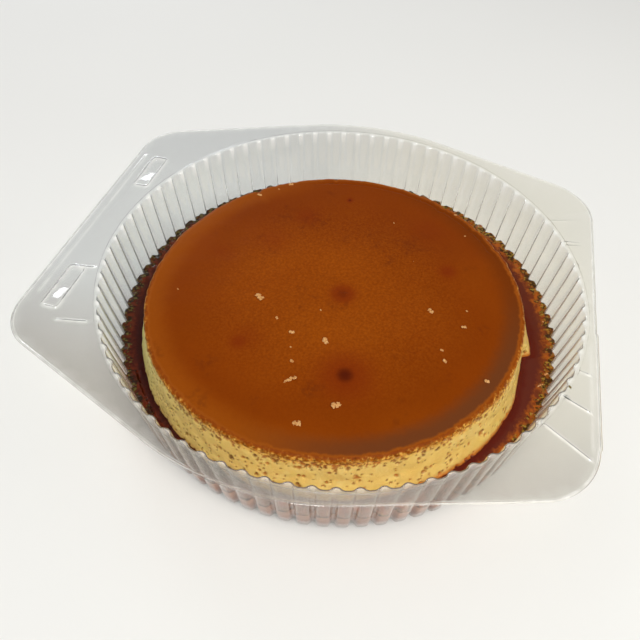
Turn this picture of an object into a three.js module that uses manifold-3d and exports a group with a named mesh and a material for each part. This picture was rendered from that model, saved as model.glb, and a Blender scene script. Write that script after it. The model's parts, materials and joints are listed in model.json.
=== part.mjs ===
// Leche flan turned out into the clear fluted base of a hinged take-away tray.
// Four pieces: the tray, the custard, the caramel-soaked layer on top of it, and the
// caramel sauce that has run down and fills the tray round the foot of the custard.
//
// Millimetres, +Z up. The tray stands on Z = 0 and the origin is the centre of its
// outline there. The latch side of the flange faces -X, the hinge side faces +X.

import * as THREE from 'three';
import { mergeVertices } from 'three/addons/utils/BufferGeometryUtils.js';
import Module from 'manifold-3d';

const wasm = await Module();
wasm.setup();

const RAD = Math.PI / 180;

// ---- driving dimensions ----------------------------------------------------------

// Clearance between two pieces that touch.
const GAP = 0.3;

// Flange: a sheet with two straight sides and a bulge round the cup at front and back.
const LATCH_REACH = 139.8;       // cup centre to the straight latch side
const HINGE_REACH = 123.7;       // cup centre to the straight hinge side
const HINGE_TEAR_STEP = 0.6;     // the hinge tore off unevenly: this much more is left
const HINGE_TEAR_Y = -10;        // in front of this Y
const BULGE_RADIUS = 126.5;
const BULGE_TOWARDS_LATCH = 3.6; // from the cup's centre to the bulge's
const HINGE_SLANT = 73 * RAD;    // direction in which the slanting edges face
const LATCH_SLANT = 111.75 * RAD;
const HINGE_CORNER = 30;         // radii of the rounded corners
const LATCH_CORNER = 25;
const FLANGE_TOP = 53.4;
const SHEET = 0.6;               // thickness of the flange and the floor

// Cup: 82 upright flutes, each bulging outwards, with a narrow ridge between them.
const FLUTES = 82;
const RIM_HEIGHT = 51;
const RIM_RADIUS = 118.7;        // inside the flutes, at the rim
const FLOOR_RADIUS = 113.3;      // inside the flutes, if they ran down to Z = 0
const FLUTE_DEPTH = 2.2;
const WALL = 0.8;                // measured towards the cup's axis
const FLOOR_FILLET = 3;
const LIP_RADIUS = 120.6;        // where the flutes have faded into the flat flange

// Stiffening ribs and the two snap pockets pressed into the flange.
const HINGE_RIB_COUNT = 9;
const HINGE_RIB_PITCH = 8.2 * RAD;
const HINGE_RIB_END = 3.2;       // short of the hinge side
const RIB_WIDTH = 1.6;
const RIB_HEIGHT = 0.7;
const SNAP_X = -124.5;
const SNAPS_Y = [43, -51.5];
const SNAP_LENGTH = 29;
const SNAP_WIDTH = 10;
const SNAP_WALL = 1.4;
const SNAP_HEIGHT = 1.8;
const LATCH_RIBS = [             // start and end, from the cup's centre
  [[-129, -38.5], [-115.5, -35.5]],
  [[-117, -71], [-103.5, -68.5]],
];

// Flan: centre measured from the cup's.
const FLAN_X = -0.6;
const FLAN_Y = -7.7;
const FLAN_COLUMNS = 90;
const FLAN_TOP = 41.5;
const TOP_RADIUS = 95;           // of the top edge, on average
const TOP_STRAYS = [             // lobes, their height and where the first one is
  [1, 0.25, 104 * RAD],
  [2, 0.87, 41.6 * RAD],
  [3, 0.25, -24 * RAD],
];
const TOP_EDGE = 1.2;            // rounding of the top edge
const SOAKED = 2.2;              // thickness of the caramel-soaked layer
const SAUCE_LEVEL = 18.6;
const FOOT_RADIUS = 100.8;       // at the sauce's level, and how it strays from round:
const FOOT_SAG = 0.6;            // further out towards the front,
const FOOT_SAG_AT = -80 * RAD;
const FLAP = 3.2;                // and a flap left standing behind a tear
const TEAR_AT = 2.5 * RAD;
const FLAP_SPREAD = 26 * RAD;
const TORN_DEPTH = 2.2;
const TORN_SPREAD = 14 * RAD;
const BOTTOM_RADIUS = 97.5;

// ---- the cup and flange as functions of the direction from the cup's axis ----------

const cupX = (LATCH_REACH - HINGE_REACH - HINGE_TEAR_STEP) / 2;

// How far the cup's axis is from a slanting edge that faces in the direction given and
// runs off the bulge without a kink.
function slantReach(direction) {
  return BULGE_RADIUS - BULGE_TOWARDS_LATCH * Math.cos(direction);
}

// The straight edges of the flange's back half, from the hinge side to the latch side.
const edges = [
  { facing: 0, reach: HINGE_REACH },
  { facing: HINGE_SLANT, reach: slantReach(HINGE_SLANT) },
  { facing: LATCH_SLANT, reach: slantReach(LATCH_SLANT) },
  { facing: Math.PI, reach: LATCH_REACH },
];

// Distance along a ray from the cup's axis to a circle that the axis lies inside.
function rayToCircle(a, centre, radius) {
  const along = centre.x * Math.cos(a) + centre.y * Math.sin(a);
  const off = centre.x ** 2 + centre.y ** 2 - radius ** 2;
  return along + Math.sqrt(Math.max(along ** 2 - off, 0));
}

// Centre of the arc of the radius given that rounds the corner between two edges.
function cornerCentre(one, two, radius) {
  const turn = two.facing - one.facing;
  const p = one.reach - radius;
  const q = two.reach - radius;
  const side = (q - p * Math.cos(turn)) / Math.sin(turn);
  return {
    x: p * Math.cos(one.facing) - side * Math.sin(one.facing),
    y: p * Math.sin(one.facing) + side * Math.cos(one.facing),
  };
}

// Distance from the cup's axis to the flange's outline in direction a. The front half
// mirrors the back half, apart from what is left of the hinge.
function outlineRadius(a) {
  const up = Math.abs(Math.atan2(Math.sin(a), Math.cos(a)));
  const front = Math.sin(a) < 0;
  let reach = Infinity;
  for (const edge of edges) {
    const towards = Math.cos(up - edge.facing);
    if (towards > 0) reach = Math.min(reach, edge.reach / towards);
  }
  const corners = [[edges[0], edges[1], HINGE_CORNER], [edges[2], edges[3], LATCH_CORNER]];
  for (const [one, two, radius] of corners) {
    const centre = cornerCentre(one, two, radius);
    const hit = rayToCircle(up, centre, radius);
    const angle = Math.atan2(hit * Math.sin(up) - centre.y, hit * Math.cos(up) - centre.x);
    if (angle > one.facing && angle < two.facing) reach = hit;
  }
  const bulge = { x: -BULGE_TOWARDS_LATCH, y: 0 };
  const hit = rayToCircle(up, bulge, BULGE_RADIUS);
  const angle = Math.atan2(hit * Math.sin(up), hit * Math.cos(up) - bulge.x);
  if (angle > HINGE_SLANT && angle < LATCH_SLANT) reach = hit;
  const onHingeSide = Math.abs(reach * Math.cos(up) - HINGE_REACH) < 0.01;
  const torn = onHingeSide && front && reach * Math.sin(up) > -HINGE_TEAR_Y;
  return reach + (torn ? HINGE_TEAR_STEP : 0);
}

// Three columns of points to each flute: one on the ridge, two on the bulge.
const columnsInFlute = [0, 0.32, 0.68];
const fluteAngles = [];
for (let flute = 0; flute < FLUTES; flute++) {
  for (const part of columnsInFlute) {
    fluteAngles.push(((flute + 0.5 + part) / FLUTES) * 2 * Math.PI);
  }
}

// Inner radius of the fluted wall in one column at a height.
function wallRadius(column, z) {
  const bulge = FLOOR_RADIUS + ((RIM_RADIUS - FLOOR_RADIUS) * z) / RIM_HEIGHT;
  const onRidge = column % columnsInFlute.length === 0;
  return bulge - (onRidge ? FLUTE_DEPTH : 0);
}

// A ring of the cup: one point a column, from a radius that may depend on the column.
function cupRing(z, radiusOf) {
  return fluteAngles.map((a, column) => {
    const r = radiusOf(column, a);
    return new THREE.Vector3(r * Math.cos(a), r * Math.sin(a), z);
  });
}

// ---- building solids from rings ----------------------------------------------------

// A closed solid from a stack of rings with equal numbers of points, each closed at
// both ends of the stack by a fan to the middle point given.
function solidFromRings(first, rings, last) {
  const count = rings[0].length;
  const points = [first, ...rings.flat(), last];
  const positions = points.flatMap((p) => [p.x, p.y, p.z]);
  const index = [];
  const at = (ring, k) => 1 + ring * count + (k % count);
  for (let k = 0; k < count; k++) {
    index.push(0, at(0, k + 1), at(0, k));
    for (let ring = 0; ring + 1 < rings.length; ring++) {
      index.push(at(ring, k), at(ring, k + 1), at(ring + 1, k + 1));
      index.push(at(ring, k), at(ring + 1, k + 1), at(ring + 1, k));
    }
    index.push(points.length - 1, at(rings.length - 1, k), at(rings.length - 1, k + 1));
  }
  const geometry = new THREE.BufferGeometry();
  geometry.setAttribute('position', new THREE.Float32BufferAttribute(positions, 3));
  geometry.setIndex(index);
  return geometry;
}

function toManifold(geometry) {
  const bare = geometry.clone();
  bare.deleteAttribute('normal');
  bare.deleteAttribute('uv');
  const merged = mergeVertices(bare, 1e-4);
  return new wasm.Manifold(new wasm.Mesh({
    numProp: 3,
    vertProperties: new Float32Array(merged.attributes.position.array),
    triVerts: new Uint32Array(merged.index.array),
  }));
}

function fromManifold(solid) {
  const mesh = solid.getMesh();
  const geometry = new THREE.BufferGeometry();
  geometry.setAttribute('position', new THREE.BufferAttribute(mesh.vertProperties, 3));
  geometry.setIndex(new THREE.BufferAttribute(mesh.triVerts, 1));
  return geometry;
}

// ---- tray ---------------------------------------------------------------------------

function trayShell() {
  const underside = FLANGE_TOP - SHEET;
  const rings = [
    cupRing(0, (c) => wallRadius(c, 0) + WALL - FLOOR_FILLET),
    cupRing(FLOOR_FILLET, (c) => wallRadius(c, FLOOR_FILLET) + WALL),
    cupRing(RIM_HEIGHT, (c) => wallRadius(c, RIM_HEIGHT) + WALL),
    cupRing(underside, () => LIP_RADIUS + WALL / 2),
    cupRing(underside, (c, a) => outlineRadius(a)),
    cupRing(FLANGE_TOP, (c, a) => outlineRadius(a)),
    cupRing(FLANGE_TOP, () => LIP_RADIUS),
    cupRing(RIM_HEIGHT, (c) => wallRadius(c, RIM_HEIGHT)),
    cupRing(FLOOR_FILLET, (c) => wallRadius(c, FLOOR_FILLET)),
    cupRing(SHEET, (c) => wallRadius(c, 0) - FLOOR_FILLET),
  ];
  return solidFromRings(new THREE.Vector3(0, 0, 0), rings, new THREE.Vector3(0, 0, SHEET));
}

// A low bar on the flange from one cup-centred point to another.
function rib([x0, y0], [x1, y1]) {
  const length = Math.hypot(x1 - x0, y1 - y0);
  const bar = new THREE.BoxGeometry(length, RIB_WIDTH, RIB_HEIGHT + SHEET / 2);
  bar.rotateZ(Math.atan2(y1 - y0, x1 - x0));
  bar.translate((x0 + x1) / 2, (y0 + y1) / 2, FLANGE_TOP + (RIB_HEIGHT - SHEET / 2) / 2);
  return bar;
}

function hingeRibs() {
  const end = HINGE_REACH - HINGE_RIB_END;
  const ribs = [];
  for (let k = 0; k < HINGE_RIB_COUNT; k++) {
    const a = (k - (HINGE_RIB_COUNT - 1) / 2) * HINGE_RIB_PITCH;
    const room = end / Math.cos(a) - LIP_RADIUS;
    if (room < RIB_WIDTH) continue;
    const start = [LIP_RADIUS * Math.cos(a), LIP_RADIUS * Math.sin(a)];
    ribs.push(rib(start, [end, end * Math.tan(a)]));
  }
  return ribs;
}

function roundedRectangle(path, width, length, radius) {
  const x = width / 2;
  const y = length / 2;
  path.moveTo(x, -y + radius);
  path.lineTo(x, y - radius);
  path.absarc(x - radius, y - radius, radius, 0, Math.PI / 2);
  path.lineTo(-x + radius, y);
  path.absarc(-x + radius, y - radius, radius, Math.PI / 2, Math.PI);
  path.lineTo(-x, -y + radius);
  path.absarc(-x + radius, -y + radius, radius, Math.PI, 1.5 * Math.PI);
  path.lineTo(x - radius, -y);
  path.absarc(x - radius, -y + radius, radius, 1.5 * Math.PI, 2 * Math.PI);
  return path;
}

// A snap pocket: a raised wall round a recess as deep as the flange.
function snapPocket(y) {
  const outer = roundedRectangle(new THREE.Shape(), SNAP_WIDTH, SNAP_LENGTH, 3);
  const inside = 2 * SNAP_WALL;
  outer.holes.push(roundedRectangle(
    new THREE.Path(), SNAP_WIDTH - inside, SNAP_LENGTH - inside, 2));
  const wall = new THREE.ExtrudeGeometry(outer, {
    depth: SNAP_HEIGHT + SHEET / 2, bevelEnabled: false, curveSegments: 3,
  });
  wall.translate(SNAP_X, y, FLANGE_TOP - SHEET / 2);
  return wall;
}

function trayGeometry() {
  const latchRibs = LATCH_RIBS.map(([from, to]) => rib(from, to));
  const additions = [...hingeRibs(), ...latchRibs, ...SNAPS_Y.map(snapPocket)];
  let tray = toManifold(trayShell());
  for (const piece of additions) tray = tray.add(toManifold(piece));
  return fromManifold(tray);
}

// ---- flan ---------------------------------------------------------------------------

// Outer radius of the custard at the sauce's level, in direction a from its own axis.
function footRadius(a) {
  const turn = Math.atan2(Math.sin(a - TEAR_AT), Math.cos(a - TEAR_AT));
  const sag = FOOT_SAG * Math.cos(a - FOOT_SAG_AT);
  if (turn >= 0) {
    return FOOT_RADIUS + sag + FLAP * Math.exp(-((turn / FLAP_SPREAD) ** 2));
  }
  return FOOT_RADIUS + sag - TORN_DEPTH * Math.exp(-((turn / TORN_SPREAD) ** 2));
}

// Radius of the flan's top edge in direction a.
function topRadius(a) {
  const strays = TOP_STRAYS.map(([lobes, height, first]) => height * Math.cos(lobes * (a - first)));
  return TOP_RADIUS + strays.reduce((sum, stray) => sum + stray, 0);
}

// The side's outline from the bottom up: height, and radius in direction a.
const custardTop = FLAN_TOP - SOAKED - GAP;
const custardBottom = SHEET + GAP;
const sideProfile = [
  { z: custardBottom, r: () => BOTTOM_RADIUS - 2 },
  { z: custardBottom + 2.5, r: () => BOTTOM_RADIUS },
  { z: SAUCE_LEVEL / 2, r: (a) => (BOTTOM_RADIUS + 2 * footRadius(a)) / 3 },
  { z: SAUCE_LEVEL, r: (a) => footRadius(a) },
  { z: (SAUCE_LEVEL + custardTop) / 2, r: (a) => 0.42 * footRadius(a) + 0.58 * topRadius(a) },
  { z: custardTop, r: (a) => topRadius(a) + 0.5 },
];

function flanRing(z, radiusOf, count = FLAN_COLUMNS) {
  return Array.from({ length: count }, (_, k) => {
    const a = (k / count) * 2 * Math.PI;
    const r = radiusOf(a);
    return new THREE.Vector3(FLAN_X + r * Math.cos(a), FLAN_Y + r * Math.sin(a), z);
  });
}

const flanAxisAt = (z) => new THREE.Vector3(FLAN_X, FLAN_Y, z);

// The custard, or the room it needs when it is made larger round its side and below.
function custardGeometry(grow = 0) {
  const foot = custardBottom - grow;
  const rings = sideProfile.map(({ z, r }, level) =>
    flanRing(level === 0 ? foot : z, (a) => r(a) + grow));
  return solidFromRings(flanAxisAt(foot), rings, flanAxisAt(custardTop));
}

function caramelTopGeometry() {
  const from = custardTop + GAP;
  const rings = [
    flanRing(from, (a) => topRadius(a) + 0.4),
    flanRing(FLAN_TOP - TOP_EDGE, topRadius),
    flanRing(FLAN_TOP, (a) => topRadius(a) - TOP_EDGE),
  ];
  return solidFromRings(flanAxisAt(from), rings, flanAxisAt(FLAN_TOP));
}

// ---- sauce --------------------------------------------------------------------------

// The sauce fills the flutes up to its level, less the space the custard stands in.
function sauceGeometry() {
  const bottom = SHEET + GAP;
  const rings = [
    cupRing(bottom, (c) => wallRadius(c, 0) - FLOOR_FILLET - GAP),
    cupRing(FLOOR_FILLET + GAP, (c) => wallRadius(c, FLOOR_FILLET) - GAP * 1.5),
    cupRing(SAUCE_LEVEL, (c) => wallRadius(c, SAUCE_LEVEL) - GAP * 1.5),
  ];
  const filled = solidFromRings(
    new THREE.Vector3(0, 0, bottom), rings, new THREE.Vector3(0, 0, SAUCE_LEVEL));
  return fromManifold(toManifold(filled).subtract(toManifold(custardGeometry(GAP))));
}

// ---- the object ---------------------------------------------------------------------

function finish(color, roughness) {
  return new THREE.MeshStandardMaterial({ color, roughness, metalness: 0 });
}

function piece(name, geometry, material) {
  const mesh = new THREE.Mesh(geometry, material);
  mesh.name = name;
  mesh.position.x = cupX;
  return mesh;
}

const group = new THREE.Group();
group.add(
  piece('tray', trayGeometry(), finish('#cfd0ca', 0.1)),
  piece('custard', custardGeometry(), finish('#e0b45f', 0.55)),
  piece('caramel_top', caramelTopGeometry(), finish('#8e4210', 0.2)),
  piece('caramel_sauce', sauceGeometry(), finish('#5a1f0c', 0.08)),
);

export default group;
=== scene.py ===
# %% [markdown]
# # A leche flan in its clear tray
# The flan is a disc of baked custard that was turned out of its pan, so the caramel from the
# bottom of the pan is now on top: it has soaked into the upper two millimetres, and the rest
# has run down and stands as a pool in the fluted base of a clear take-away tray.
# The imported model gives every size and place, so it is loaded first and measured. All the
# lengths below are in millimetres, and a mesh is turned into metres when it is made.

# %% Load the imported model
import json
import math

import bmesh
import bpy
import numpy as np
from mathutils import Matrix, Vector, noise
from mathutils.geometry import delaunay_2d_cdt

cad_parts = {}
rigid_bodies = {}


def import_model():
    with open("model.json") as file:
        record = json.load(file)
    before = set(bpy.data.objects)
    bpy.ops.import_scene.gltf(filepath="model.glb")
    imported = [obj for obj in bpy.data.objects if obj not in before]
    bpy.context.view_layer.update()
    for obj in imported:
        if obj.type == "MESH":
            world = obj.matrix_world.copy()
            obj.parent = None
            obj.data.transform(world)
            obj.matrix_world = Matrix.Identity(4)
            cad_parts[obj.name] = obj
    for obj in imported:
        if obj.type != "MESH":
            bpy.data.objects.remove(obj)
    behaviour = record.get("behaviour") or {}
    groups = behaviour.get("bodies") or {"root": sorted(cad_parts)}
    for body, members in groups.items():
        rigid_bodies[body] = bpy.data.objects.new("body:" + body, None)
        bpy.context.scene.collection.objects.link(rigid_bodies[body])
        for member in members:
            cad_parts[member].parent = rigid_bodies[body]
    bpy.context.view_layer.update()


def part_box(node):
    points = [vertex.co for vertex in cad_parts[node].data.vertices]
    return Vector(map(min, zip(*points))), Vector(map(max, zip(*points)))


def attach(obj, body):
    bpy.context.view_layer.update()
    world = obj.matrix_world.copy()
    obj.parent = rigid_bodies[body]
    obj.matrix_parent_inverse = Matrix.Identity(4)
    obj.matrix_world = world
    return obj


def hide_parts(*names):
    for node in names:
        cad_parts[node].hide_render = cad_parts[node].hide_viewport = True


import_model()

MM = 0.001


def box_mm(node):
    """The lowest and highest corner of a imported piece, in millimetres."""
    low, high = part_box(node)
    return np.array(low) / MM, np.array(high) / MM


tray_low, tray_high = box_mm("tray")
custard_low, custard_high = box_mm("custard")
soaked_high = box_mm("caramel_top")[1]
sauce_high = box_mm("caramel_sauce")[1]
print("tray", np.round(tray_low, 2), np.round(tray_high, 2))

# %% [markdown]
# ## Where things are
# Two axes matter. The tray's cup is round about one of them, and the flan is round about
# another, because it slid forward a little when the tray was carried. The levels are read off
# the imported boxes. `smooth` is the soft step from 0 to 1 that most of the shapes below lean on.

# %% The two axes and the levels
LATCH_REACH = 139.8
CUP = np.array([tray_low[0] + LATCH_REACH, 0.0])
FLAN = CUP + [-0.6, -7.7]
FLAN_TOP = soaked_high[2]
CUSTARD_TOP = custard_high[2]
SAUCE_LEVEL = sauce_high[2]


def smooth(x, low=0.0, high=1.0):
    """0 below low, 1 above high and a soft step between them."""
    t = np.clip((np.asarray(x, float) - low) / (high - low), 0, 1)
    return t * t * (3 - 2 * t)


def wander(points, size, seed=0):
    """Soft noise from about -1 to 1 at each point, with bumps of the size given."""
    shift = Vector((seed * 17.3, seed * 5.1, seed * 9.7))
    return np.array([noise.noise(Vector(p) / size + shift) for p in points]) * 2


print("cup axis", np.round(CUP, 2), "flan axis", np.round(FLAN, 2), "flan top", round(FLAN_TOP, 2))

# %% [markdown]
# ## The camera
# It stands in front of the tray, a little to its right, and looks down by half a right angle
# and a bit more. Three turns say where it looks: round the vertical, down, and a small roll.

# %% Camera
CAMERA_PLACE = (49.83, -208.88, 263.59)
CAMERA_TURN = math.radians(14.03)
CAMERA_DOWN = math.radians(49.99)
CAMERA_ROLL = math.radians(1.67)
SENSOR_WIDTH = 36
FOCAL_LENGTH = 33.333

lens = bpy.data.cameras.new("camera")
lens.sensor_width = SENSOR_WIDTH
lens.lens = FOCAL_LENGTH
lens.clip_start = 0.01
camera = bpy.data.objects.new("camera", lens)
bpy.context.scene.collection.objects.link(camera)
aim = Matrix.Rotation(CAMERA_TURN, 4, "Z") @ Matrix.Rotation(math.pi / 2 - CAMERA_DOWN, 4, "X")
camera.matrix_world = (
    Matrix.Translation(Vector(CAMERA_PLACE) * MM) @ aim @ Matrix.Rotation(CAMERA_ROLL, 4, "Z")
)
bpy.context.scene.camera = camera
print("camera looks", np.round(aim.to_3x3() @ Vector((0, 0, -1)), 3))

# %% [markdown]
# ## Making meshes from rings
# The cup, the flan and the pool are all stacks of rings, so one helper makes them all. It
# takes an array of points, ring by ring, and joins each ring to the next with quads. A stack
# can be closed by a middle point at either end, or its last ring can meet its first.

# %% Ring stacks
def ring_faces(rows, columns, start=0, loop=False):
    """Quads between the rings of a stack, facing outwards when the rings go up."""
    row = np.arange(rows if loop else rows - 1)[:, None]
    column = np.arange(columns)[None, :]
    beside = (column + 1) % columns
    above = (row + 1) % rows
    corners = [(row, column), (row, beside), (above, beside), (above, column)]
    quads = np.stack([start + r * columns + c for r, c in corners], axis=-1)
    return quads.reshape(-1, 4).tolist()


def stack_mesh(name, rings, first=None, last=None, loop=False):
    """An object made of a stack of rings, and the middle points that close its ends."""
    rows, columns = rings.shape[:2]
    points = rings.reshape(-1, 3).tolist()
    faces = ring_faces(rows, columns, loop=loop)
    around = range(columns)
    if first is not None:
        points.append(list(first))
        middle = len(points) - 1
        faces += [[middle, (k + 1) % columns, k] for k in around]
    if last is not None:
        points.append(list(last))
        middle, top = len(points) - 1, (rows - 1) * columns
        faces += [[middle, top + k, top + (k + 1) % columns] for k in around]
    return mesh_object(name, points, faces)


def mesh_object(name, points, faces, edges=()):
    """A new object in the scene from points in millimetres."""
    mesh = bpy.data.meshes.new(name)
    mesh.from_pydata((np.array(points) * MM).tolist(), list(edges), faces)
    mesh.validate()
    mesh.shade_smooth()
    made = bpy.data.objects.new(name, mesh)
    bpy.context.scene.collection.objects.link(made)
    return made


def paint(obj, name, values):
    """Keeps one number for each point of a mesh, for its recipe or its material to read."""
    mark = obj.data.attributes.new(name, "FLOAT", "POINT")
    mark.data.foreach_set("value", np.asarray(values, np.float32).ravel())


def points_mm(obj):
    """All the points of an object's mesh, in millimetres."""
    flat = np.zeros(len(obj.data.vertices) * 3)
    obj.data.vertices.foreach_get("co", flat)
    return flat.reshape(-1, 3) / MM

# %% [markdown]
# ## Writing node trees
# Geometry Nodes and materials are both made of nodes and links. This small helper adds a node
# and plugs it in with one call, so that a tree reads as a list of steps. An input that is
# given a plain value is set, and one that is given a socket is linked.

# %% Node helper
class Wiring:
    """Adds nodes to one tree and plugs them together."""

    def __init__(self, tree):
        self.tree = tree

    def plug(self, socket, value):
        if isinstance(value, bpy.types.NodeSocket):
            self.tree.links.new(value, socket)
        else:
            socket.default_value = value

    def add(self, kind, inputs=None, **settings):
        made = self.tree.nodes.new(kind)
        for name, value in settings.items():
            setattr(made, name, value)
        for name, value in (inputs or {}).items():
            self.plug(made.inputs[name], value)
        return made

    def math(self, operation, *values):
        made = self.add("ShaderNodeMath", operation=operation)
        for socket, value in zip(made.inputs, values):
            self.plug(socket, value)
        return made.outputs[0]

    def times(self, one, other):
        return self.math("MULTIPLY", one, other)

    def plus(self, one, other):
        return self.math("ADD", one, other)

    def minus(self, one, other):
        return self.math("SUBTRACT", one, other)

    def vector(self, operation, *values):
        made = self.add("ShaderNodeVectorMath", operation=operation)
        for socket, value in zip(made.inputs, values):
            self.plug(socket, value)
        return made.outputs["Value" if operation in ("LENGTH", "DOT_PRODUCT") else "Vector"]

    def named(self, name):
        """In Geometry Nodes: the number painted on the mesh under a name."""
        kind = "GeometryNodeInputNamedAttribute"
        return self.add(kind, {"Name": name}, data_type="FLOAT").outputs[0]

    def step(self, value, low, high, out_low=0.0, out_high=1.0):
        """A soft step: out_low where value is low, out_high where it is high."""
        inputs = {"Value": value, "From Min": low, "From Max": high}
        inputs.update({"To Min": out_low, "To Max": out_high})
        made = self.add("ShaderNodeMapRange", inputs, interpolation_type="SMOOTHSTEP")
        return made.outputs["Result"]

    def group(self, tree, inputs):
        kind = "GeometryNodeGroup" if tree.bl_idname == "GeometryNodeTree" else "ShaderNodeGroup"
        return self.add(kind, inputs, node_tree=tree)


def new_tree(name, kind, inputs, outputs):
    """An empty tree with named inputs and outputs: (tree, wiring, input sockets, output node)."""
    tree = bpy.data.node_groups.new(name, kind)
    for label, socket_type, value in inputs:
        socket = tree.interface.new_socket(label, in_out="INPUT", socket_type=socket_type)
        if value is not None:
            socket.default_value = value
    for label, socket_type in outputs:
        tree.interface.new_socket(label, in_out="OUTPUT", socket_type=socket_type)
    w = Wiring(tree)
    given = w.add("NodeGroupInput").outputs
    return tree, w, given, w.add("NodeGroupOutput")


def use_tree(obj, tree, **values):
    """Puts a Geometry Nodes tree on an object and sets its named inputs."""
    modifier = obj.modifiers.new(tree.name, "NODES")
    modifier.node_group = tree
    sockets = {item.name: item.identifier for item in tree.interface.items_tree}
    for name, value in values.items():
        modifier[sockets[name.replace("_", " ")]] = value


def bake(obj):
    """Turns what an object's modifiers make into its own plain mesh."""
    graph = bpy.context.evaluated_depsgraph_get()
    shaped = obj.evaluated_get(graph)
    mesh = bpy.data.meshes.new_from_object(shaped, preserve_all_data_layers=True, depsgraph=graph)
    obj.modifiers.clear()
    obj.data = mesh
    triangles = sum(len(p.vertices) - 2 for p in mesh.polygons)
    print(obj.name, "has", triangles, "triangles")


GEOMETRY, FLOAT, INT = "NodeSocketGeometry", "NodeSocketFloat", "NodeSocketInt"
VECTOR, COLOR = "NodeSocketVector", "NodeSocketColor"
MATERIAL, OBJECT = "NodeSocketMaterial", "NodeSocketObject"

# %% [markdown]
# ## A shared effect: mottling
# Nothing that was cooked has one even colour. The custard, the soaked caramel, the sauce and
# the crumbs all need soft blotches, and the plastic needs a faint uneven haze. A shader node
# group keeps that effect in one place: it turns the object's own coordinates into a number
# from 0 to 1, with blotches of the size given.

# %% Mottling group
def make_mottling():
    tree, w, given, out = new_tree(
        "mottling", "ShaderNodeTree",
        [("Size", FLOAT, 5.0), ("Sharpness", FLOAT, 0.2), ("Seed", FLOAT, 0.0),
         ("Stretch", VECTOR, (1.0, 1.0, 1.0))],
        [("Factor", FLOAT)])
    where = w.add("ShaderNodeTexCoord").outputs["Object"]
    stretched = w.vector("MULTIPLY", where, given["Stretch"])
    scale = w.math("DIVIDE", 1 / MM, given["Size"])
    cloud = w.add(
        "ShaderNodeTexNoise",
        {"Vector": stretched, "W": given["Seed"], "Scale": scale, "Detail": 3.0},
        noise_dimensions="4D").outputs[0]
    spread = w.minus(0.5, given["Sharpness"])
    low = w.minus(0.5, spread)
    high = w.plus(0.5, spread)
    w.plug(out.inputs["Factor"], w.step(cloud, low, high))
    return tree


mottling = make_mottling()


def mottle(w, size, sharpness=0.2, seed=0.0, stretch=(1.0, 1.0, 1.0)):
    """Places the mottling group in a material."""
    values = {"Size": size, "Sharpness": sharpness, "Seed": seed, "Stretch": stretch}
    return w.group(mottling, values).outputs["Factor"]


def tone(red, green, blue):
    """A colour as it looks on a screen, 0 to 255, made into the linear one that shaders take."""
    def linear(c):
        c /= 255
        return c / 12.92 if c <= 0.04045 else ((c + 0.055) / 1.055) ** 2.4
    return (linear(red), linear(green), linear(blue), 1.0)


# A mix node has sockets of the same name for each kind of value. These are the colour ones.
MIX_COLOR_A, MIX_COLOR_B, MIX_COLOR_RESULT = 6, 7, 2


def blend(w, amount, one, other):
    """One colour where amount is 0 and the other where it is 1."""
    mix = w.add("ShaderNodeMix", {"Factor": amount}, data_type="RGBA")
    w.plug(mix.inputs[MIX_COLOR_A], one)
    w.plug(mix.inputs[MIX_COLOR_B], other)
    return mix.outputs[MIX_COLOR_RESULT]


def new_material(name, **values):
    """A material with one Principled shader, whose plain values are set on its own sockets."""
    material = bpy.data.materials.new(name)
    material.use_nodes = True
    w = Wiring(material.node_tree)
    shader = material.node_tree.nodes["Principled BSDF"]
    for label, value in values.items():
        shader.inputs[label.replace("_", " ")].default_value = value
    return material, w, shader


def bump(w, shader, height, distance):
    """Feeds a height through a Bump node into the shader's Normal."""
    made = w.add("ShaderNodeBump", {"Height": height, "Distance": distance * MM, "Strength": 1.0})
    w.plug(shader.inputs["Normal"], made.outputs["Normal"])


def place_mm(w):
    """The object's own coordinates in millimetres, as X, Y and Z sockets."""
    where = w.add("ShaderNodeTexCoord").outputs["Object"]
    scaled = w.vector("MULTIPLY", where, (1 / MM, 1 / MM, 1 / MM))
    return w.add("ShaderNodeSeparateXYZ", {"Vector": scaled}).outputs


def painted(w, name):
    """A number painted on the mesh."""
    return w.add("ShaderNodeAttribute", attribute_name=name).outputs["Fac"]


print("effects:", mottling.name)

# %% [markdown]
# ## The flange's outline
# The tray was formed from one sheet. Its flange has a straight latch side, a straight hinge
# side where the lid was torn off, and between them it bulges round the cup in front and
# behind. Each of those stretches is an arc, and straight edges join them without a kink, so
# three arcs describe the back half. The front half mirrors it.

# %% Outline from arcs
HINGE_REACH = 123.7
HINGE_STEP = 0.6
HINGE_STEP_Y = -10.0
BULGE_RADIUS = 126.5
BULGE_SHIFT = 3.6
HINGE_SLANT = math.radians(73)
LATCH_SLANT = math.radians(111.75)
HINGE_CORNER = 30.0
LATCH_CORNER = 25.0
FLANGE_TOP = 53.4


def slant_reach(facing):
    """How far the cup's axis is from the slanting edge that faces in a direction."""
    return BULGE_RADIUS - BULGE_SHIFT * math.cos(facing)


def corner_centre(facing, reach, next_facing, next_reach, radius):
    """Centre of the arc that rounds the corner between two straight edges."""
    turn = next_facing - facing
    p, q = reach - radius, next_reach - radius
    side = (q - p * math.cos(turn)) / math.sin(turn)
    along = np.array([math.cos(facing), math.sin(facing)])
    across = np.array([-math.sin(facing), math.cos(facing)])
    return p * along + side * across


def arc(centre, radius, start, end, step=1.5):
    """Points along an arc, about a step apart."""
    count = max(2, int(abs(end - start) * radius / step) + 1)
    a = np.linspace(start, end, count)
    return np.stack([centre[0] + radius * np.cos(a), centre[1] + radius * np.sin(a)], axis=1)


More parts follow.
